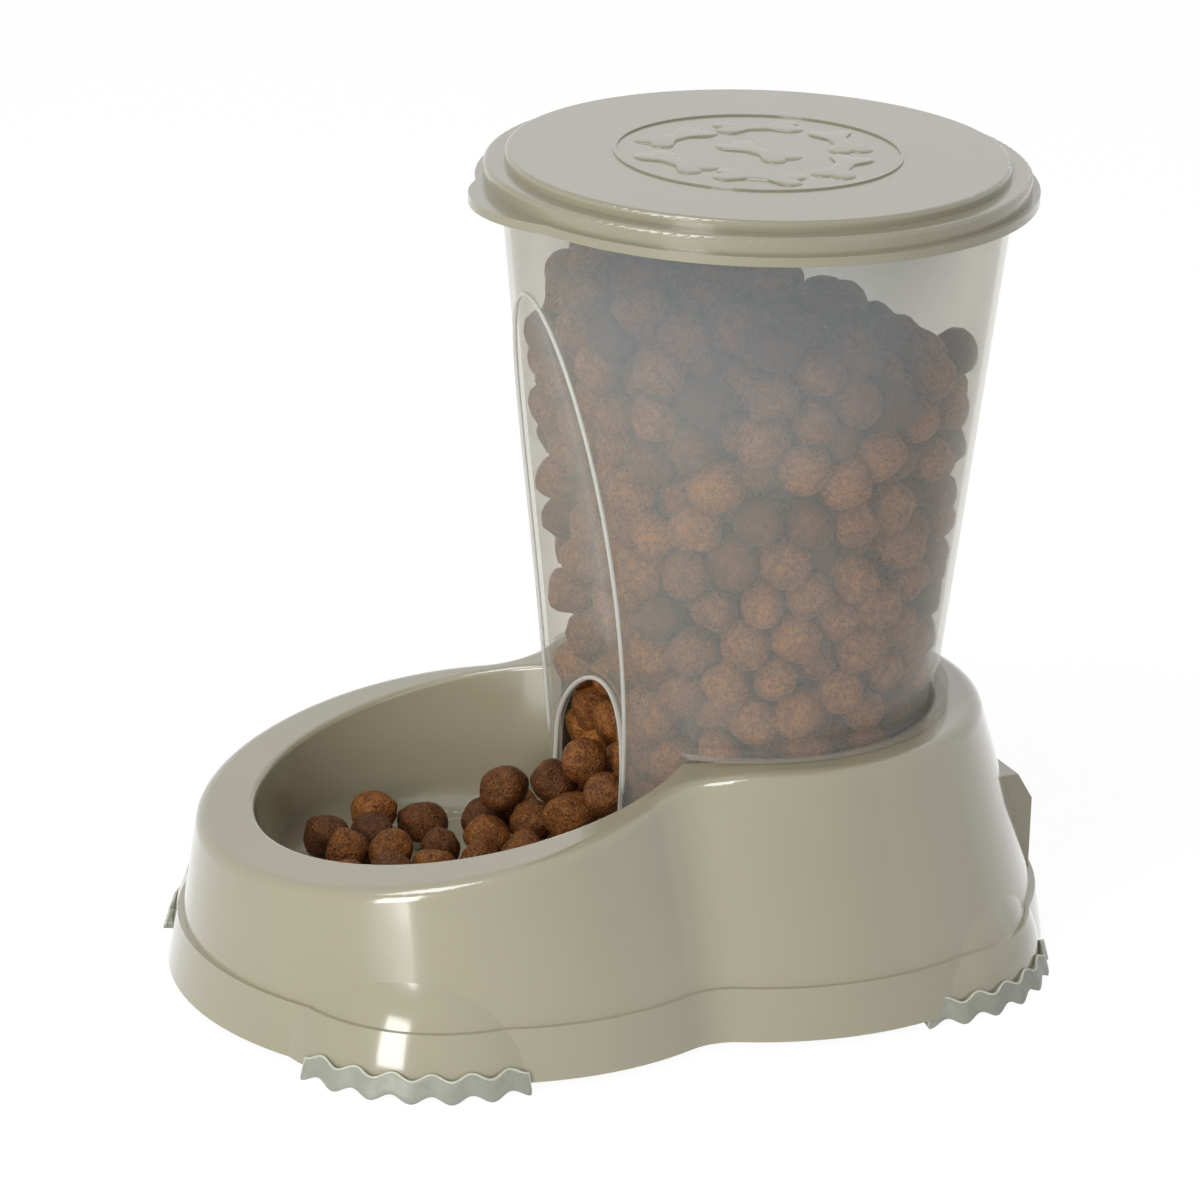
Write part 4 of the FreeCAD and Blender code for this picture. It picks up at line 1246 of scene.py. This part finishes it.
@dataclass
class Studio:
    """The camera, a pale floor, soft lamps and a white background.

    The camera's place is in millimetres, the floor's reach and the lamps' aim in metres.
    """

    camera_place: Point = (1390.99, -640.25, 666.16)
    right: Point = (0.4062222, 0.9134172, 0.0255446)
    up: Point = (-0.3201485, 0.1160846, 0.9402283)
    back: Point = (0.8558554, -0.3901197, 0.3395853)
    lens: float = 160.69
    sensor: float = 36.0
    floor_reach: float = 9.0
    floor_colour: tuple[float, ...] = (0.86, 0.86, 0.86, 1.0)
    floor_light: float = 1.1
    floor_glow: float = 0.86
    low_level: float = 0.62
    high_level: float = 0.22
    sky_colour: tuple[float, ...] = (1.0, 0.995, 0.98, 1.0)
    wall_way: Point = (-0.5, -0.87, 0.0)
    wall_colour: tuple[float, ...] = (0.38, 0.41, 0.04, 1.0)
    lamp_aim: Point = (0.0, 0.0, 0.11)

    def camera(self) -> bpy.types.Object:
        """Place the camera as it was fitted to the photograph's round outlines.

        Returns:
            The camera.
        """
        data = bpy.data.cameras.new("camera")
        data.lens, data.sensor_width, data.sensor_fit = self.lens, self.sensor, "HORIZONTAL"
        data.clip_start, data.clip_end = 0.05, 60.0
        camera = bpy.data.objects.new("camera", data)
        axes = Matrix((self.right, self.up, self.back)).transposed().to_4x4()
        camera.matrix_world = Matrix.Translation(Vector(self.camera_place) * MM) @ axes
        bpy.context.scene.collection.objects.link(camera)
        bpy.context.scene.camera = camera
        return camera

    def floor(self) -> bpy.types.Object:
        """Lay a pale floor that looks white and keeps the feeder's shadow.

        To the camera, in gloss and through clear walls it is mostly lit from itself. To
        other light it is plain pale paper.

        Returns:
            The floor.
        """
        mesh = bpy.data.meshes.new("floor")
        far = self.floor_reach
        mesh.from_pydata([(-far, -far, 0.0), (far, -far, 0.0), (far, far, 0.0),
                          (-far, far, 0.0)], [], [(0, 1, 2, 3)])
        recipe = Recipe("floor_paper")
        paper = recipe.add("ShaderNodeBsdfDiffuse", {"Color": self.floor_colour})
        glow = recipe.add("ShaderNodeEmission", {"Color": WHITE, "Strength": self.floor_light})
        lit = recipe.mix_shaders(self.floor_glow, paper, glow)
        mesh.materials.append(recipe.finish(recipe.mix_shaders(
            recipe.any_ray(*SEEING_RAYS), paper, lit)))
        floor = bpy.data.objects.new("floor", mesh)
        bpy.context.scene.collection.objects.link(floor)
        return floor

    def world(self) -> None:
        """Light weakly from all round, greener from one side, and show white.

        The tint follows how far a direction lies along wall_way, and the level its height.
        """
        world = bpy.data.worlds.new("studio")
        world.use_nodes = True
        nodes = Nodes(world.node_tree)
        place = nodes.add("ShaderNodeTexCoord").outputs["Generated"]
        toward = nodes.add("ShaderNodeVectorMath", {0: place, 1: self.wall_way},
                           operation="DOT_PRODUCT").outputs["Value"]
        tint = nodes.mix(nodes.ramp(toward, 0.2, 0.9, 0.0, 1.0), self.sky_colour,
                         self.wall_colour)
        height = nodes.add("ShaderNodeSeparateXYZ", {"Vector": place}).outputs["Z"]
        level = nodes.ramp(height, 0.1, 0.9, self.low_level, self.high_level)
        fill = nodes.add("ShaderNodeBackground", {"Color": tint, "Strength": level})
        white = nodes.add("ShaderNodeBackground", {"Color": WHITE, "Strength": 1.0})
        both = nodes.mix_shaders(nodes.any_ray(*SEEING_RAYS), fill, white)
        nodes.add("ShaderNodeOutputWorld", {"Surface": both.outputs[0]})
        bpy.context.scene.world = world

    def softbox(self, name: str, azimuth: float, elevation: float, distance: float,
                size: tuple[float, float], power: float,
                colour: Point = (1.0, 1.0, 1.0)) -> bpy.types.Object:
        """Hang a soft lamp that faces the feeder.

        Args:
            name: the lamp's name.
            azimuth: degrees round from +X.
            elevation: degrees above level.
            distance: metres from the feeder's middle.
            size: width and height in metres.
            power: watts.
            colour: its light's colour.

        Returns:
            The lamp.
        """
        data = bpy.data.lights.new(name, "AREA")
        data.shape, data.size, data.size_y = "RECTANGLE", size[0], size[1]
        data.energy, data.color = power, colour
        lamp = bpy.data.objects.new(name, data)
        turn, tilt = math.radians(azimuth), math.radians(elevation)
        away = Vector((math.cos(turn) * math.cos(tilt), math.sin(turn) * math.cos(tilt),
                       math.sin(tilt)))
        lamp.location = Vector(self.lamp_aim) + away * distance
        lamp.rotation_euler = away.to_track_quat("Z", "Y").to_euler()
        lamp.visible_camera = False
        bpy.context.scene.collection.objects.link(lamp)
        return lamp

    def build(self) -> None:
        """Set up the whole studio."""
        self.camera()
        self.floor()
        self.world()
        self.softbox("tall_softbox", azimuth=-52.0, elevation=9.0, distance=1.3,
                     size=(0.38, 0.8), power=9.0)
        self.softbox("high_softbox", azimuth=-62.0, elevation=58.0, distance=1.4,
                     size=(0.55, 0.55), power=7.3, colour=(0.93, 0.97, 1.0))
        self.softbox("right_softbox", azimuth=68.0, elevation=14.0, distance=1.5,
                     size=(1.6, 1.6), power=1.2, colour=(0.95, 0.98, 1.0))
        bpy.context.scene.view_settings.view_transform = "Standard"


class Feeder:
    """The whole feeder: the frame's nodes with finishes, and the pieces made here.
    """

    # At each end, how far along the feet stand and how the right grip is turned from +X.
    grip_places: dict[str, tuple[float, float]] = {"front": (-74.85, -30.0),
                                                   "rear": (72.35, 30.0)}
    grip_x: float = 40.05

    def __init__(self, frame: dict) -> None:
        """Keep the frame and choose the finishes."""
        self.frame = frame
        self.base = MouldedPlastic("base_moulding", linear(160, 153, 129), roughness=0.17,
                                   coat=0.9)
        self.lid = MouldedPlastic("lid_moulding", linear(153, 147, 125), roughness=0.235,
                                  coat=0.6, wave=0.03)
        # The hopper's second colour, darker and bluish, is the painted veil of reflections and
        # shade.
        self.clear = ClearPlastic("clear_moulding", linear(199, 199, 196),
                                  linear(154, 159, 164), haze=0.17, veil=0.165, edge=0.30,
                                  roughness=0.12)
        # Pale, half-opaque plastic for the hopper's edges: a painted highlight.
        self.edge = ClearPlastic("clear_edge_painted_highlight", linear(228, 229, 226), linear(228, 229, 226),
                                 haze=0.55, veil=0.0, edge=0.3, roughness=0.15)
        self.rubber = SoftRubber("grip_rubber", linear(160, 162, 150))
        self.line = SoftRubber("grip_line", linear(205, 205, 190), roughness=0.3)
        # The dark colour is the pits' colour and also the painted shade that low-tone pellets
        # are pulled to.
        self.kibble = KibbleSkin("kibble_skin", dark=linear(60, 29, 8),
                                 middle=linear(146, 88, 36), light=linear(192, 128, 62))

    def dress_nodes(self) -> None:
        """Give the frame's own solids their finishes."""
        finishes = {"base_shell": self.base, "hopper": self.clear, "lid": self.lid}
        for name, finish in finishes.items():
            mesh = self.frame["nodes"][name].data
            mesh.materials.clear()
            mesh.materials.append(finish.material())
            LOG.info("%s: %s", name, finish.name)

    def pour_food(self) -> None:
        """Fill the hopper, the bowl and the arch between them."""
        skin = self.kibble.material()
        Food("hopper_kibble", "kibble_in_hopper", Body.HOPPER, 11, HopperSpace(),
             low=(-76.0, -34.0, 34.0), high=(76.0, 118.0, 236.0)).build(skin)
        loose = Pellet(6.95, 6.7, segments=26, rings=13, crumbs=0.09, balls=0.3,
                       side=(0.45, 0.66), end=(0.7, 0.9))
        # The bowl's food takes low tones: painted shade, as it lies in the shade of the bowl's
        # walls.
        Food("bowl_kibble", "kibble_in_bowl", Body.BASE, 5, BowlSpace(),
             low=(-60.0, -112.0, 33.8), high=(60.0, 6.0, 90.0), pellet=loose,
             packing=Packing(steps=200), placed=SEEN_IN_BOWL, tones_and_shade=(0.08, 0.5)).build(skin)
        # The arch's food takes low tones too: painted shade.
        Food("arch_kibble", "", Body.HOPPER, 7, ArchSpace(), low=(0.0, 0.0, 0.0),
             high=(0.0, 0.0, 0.0), pellet=loose, packing=Packing(steps=10),
             placed=SEEN_IN_ARCH, tones_and_shade=(0.15, 0.45)).build(skin)

    def fit_grips(self) -> None:
        """Put a grip on each foot, turned outwards and the same on both sides."""
        rubber, line = self.rubber.material(), self.line.material()
        for end, (y, tilt) in self.grip_places.items():
            for side, sign, outward in (("left", -1, 180.0 - tilt), ("right", 1, tilt)):
                Grip(f"{end}_{side}_ribbon", f"{end}_{side}_grip", (sign * self.grip_x, y),
                     outward).build(rubber, line)

    def build(self) -> None:
        """Build and dress everything in order."""
        self.dress_nodes()
        self.pour_food()
        self.fit_grips()
        edge = self.edge.material()
        ScoopEdge().build(edge)
        ArchRim().build(edge)
        LidRelief().build(self.frame["nodes"]["lid"].data.materials[0])


def main() -> None:
    """Load the frame and build the scene."""
    logging.basicConfig(level=logging.INFO, format="%(name)s: %(message)s")
    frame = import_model()
    Studio().build()
    Feeder(frame).build()
    bpy.context.view_layer.update()


if __name__ == "__main__":
    main()
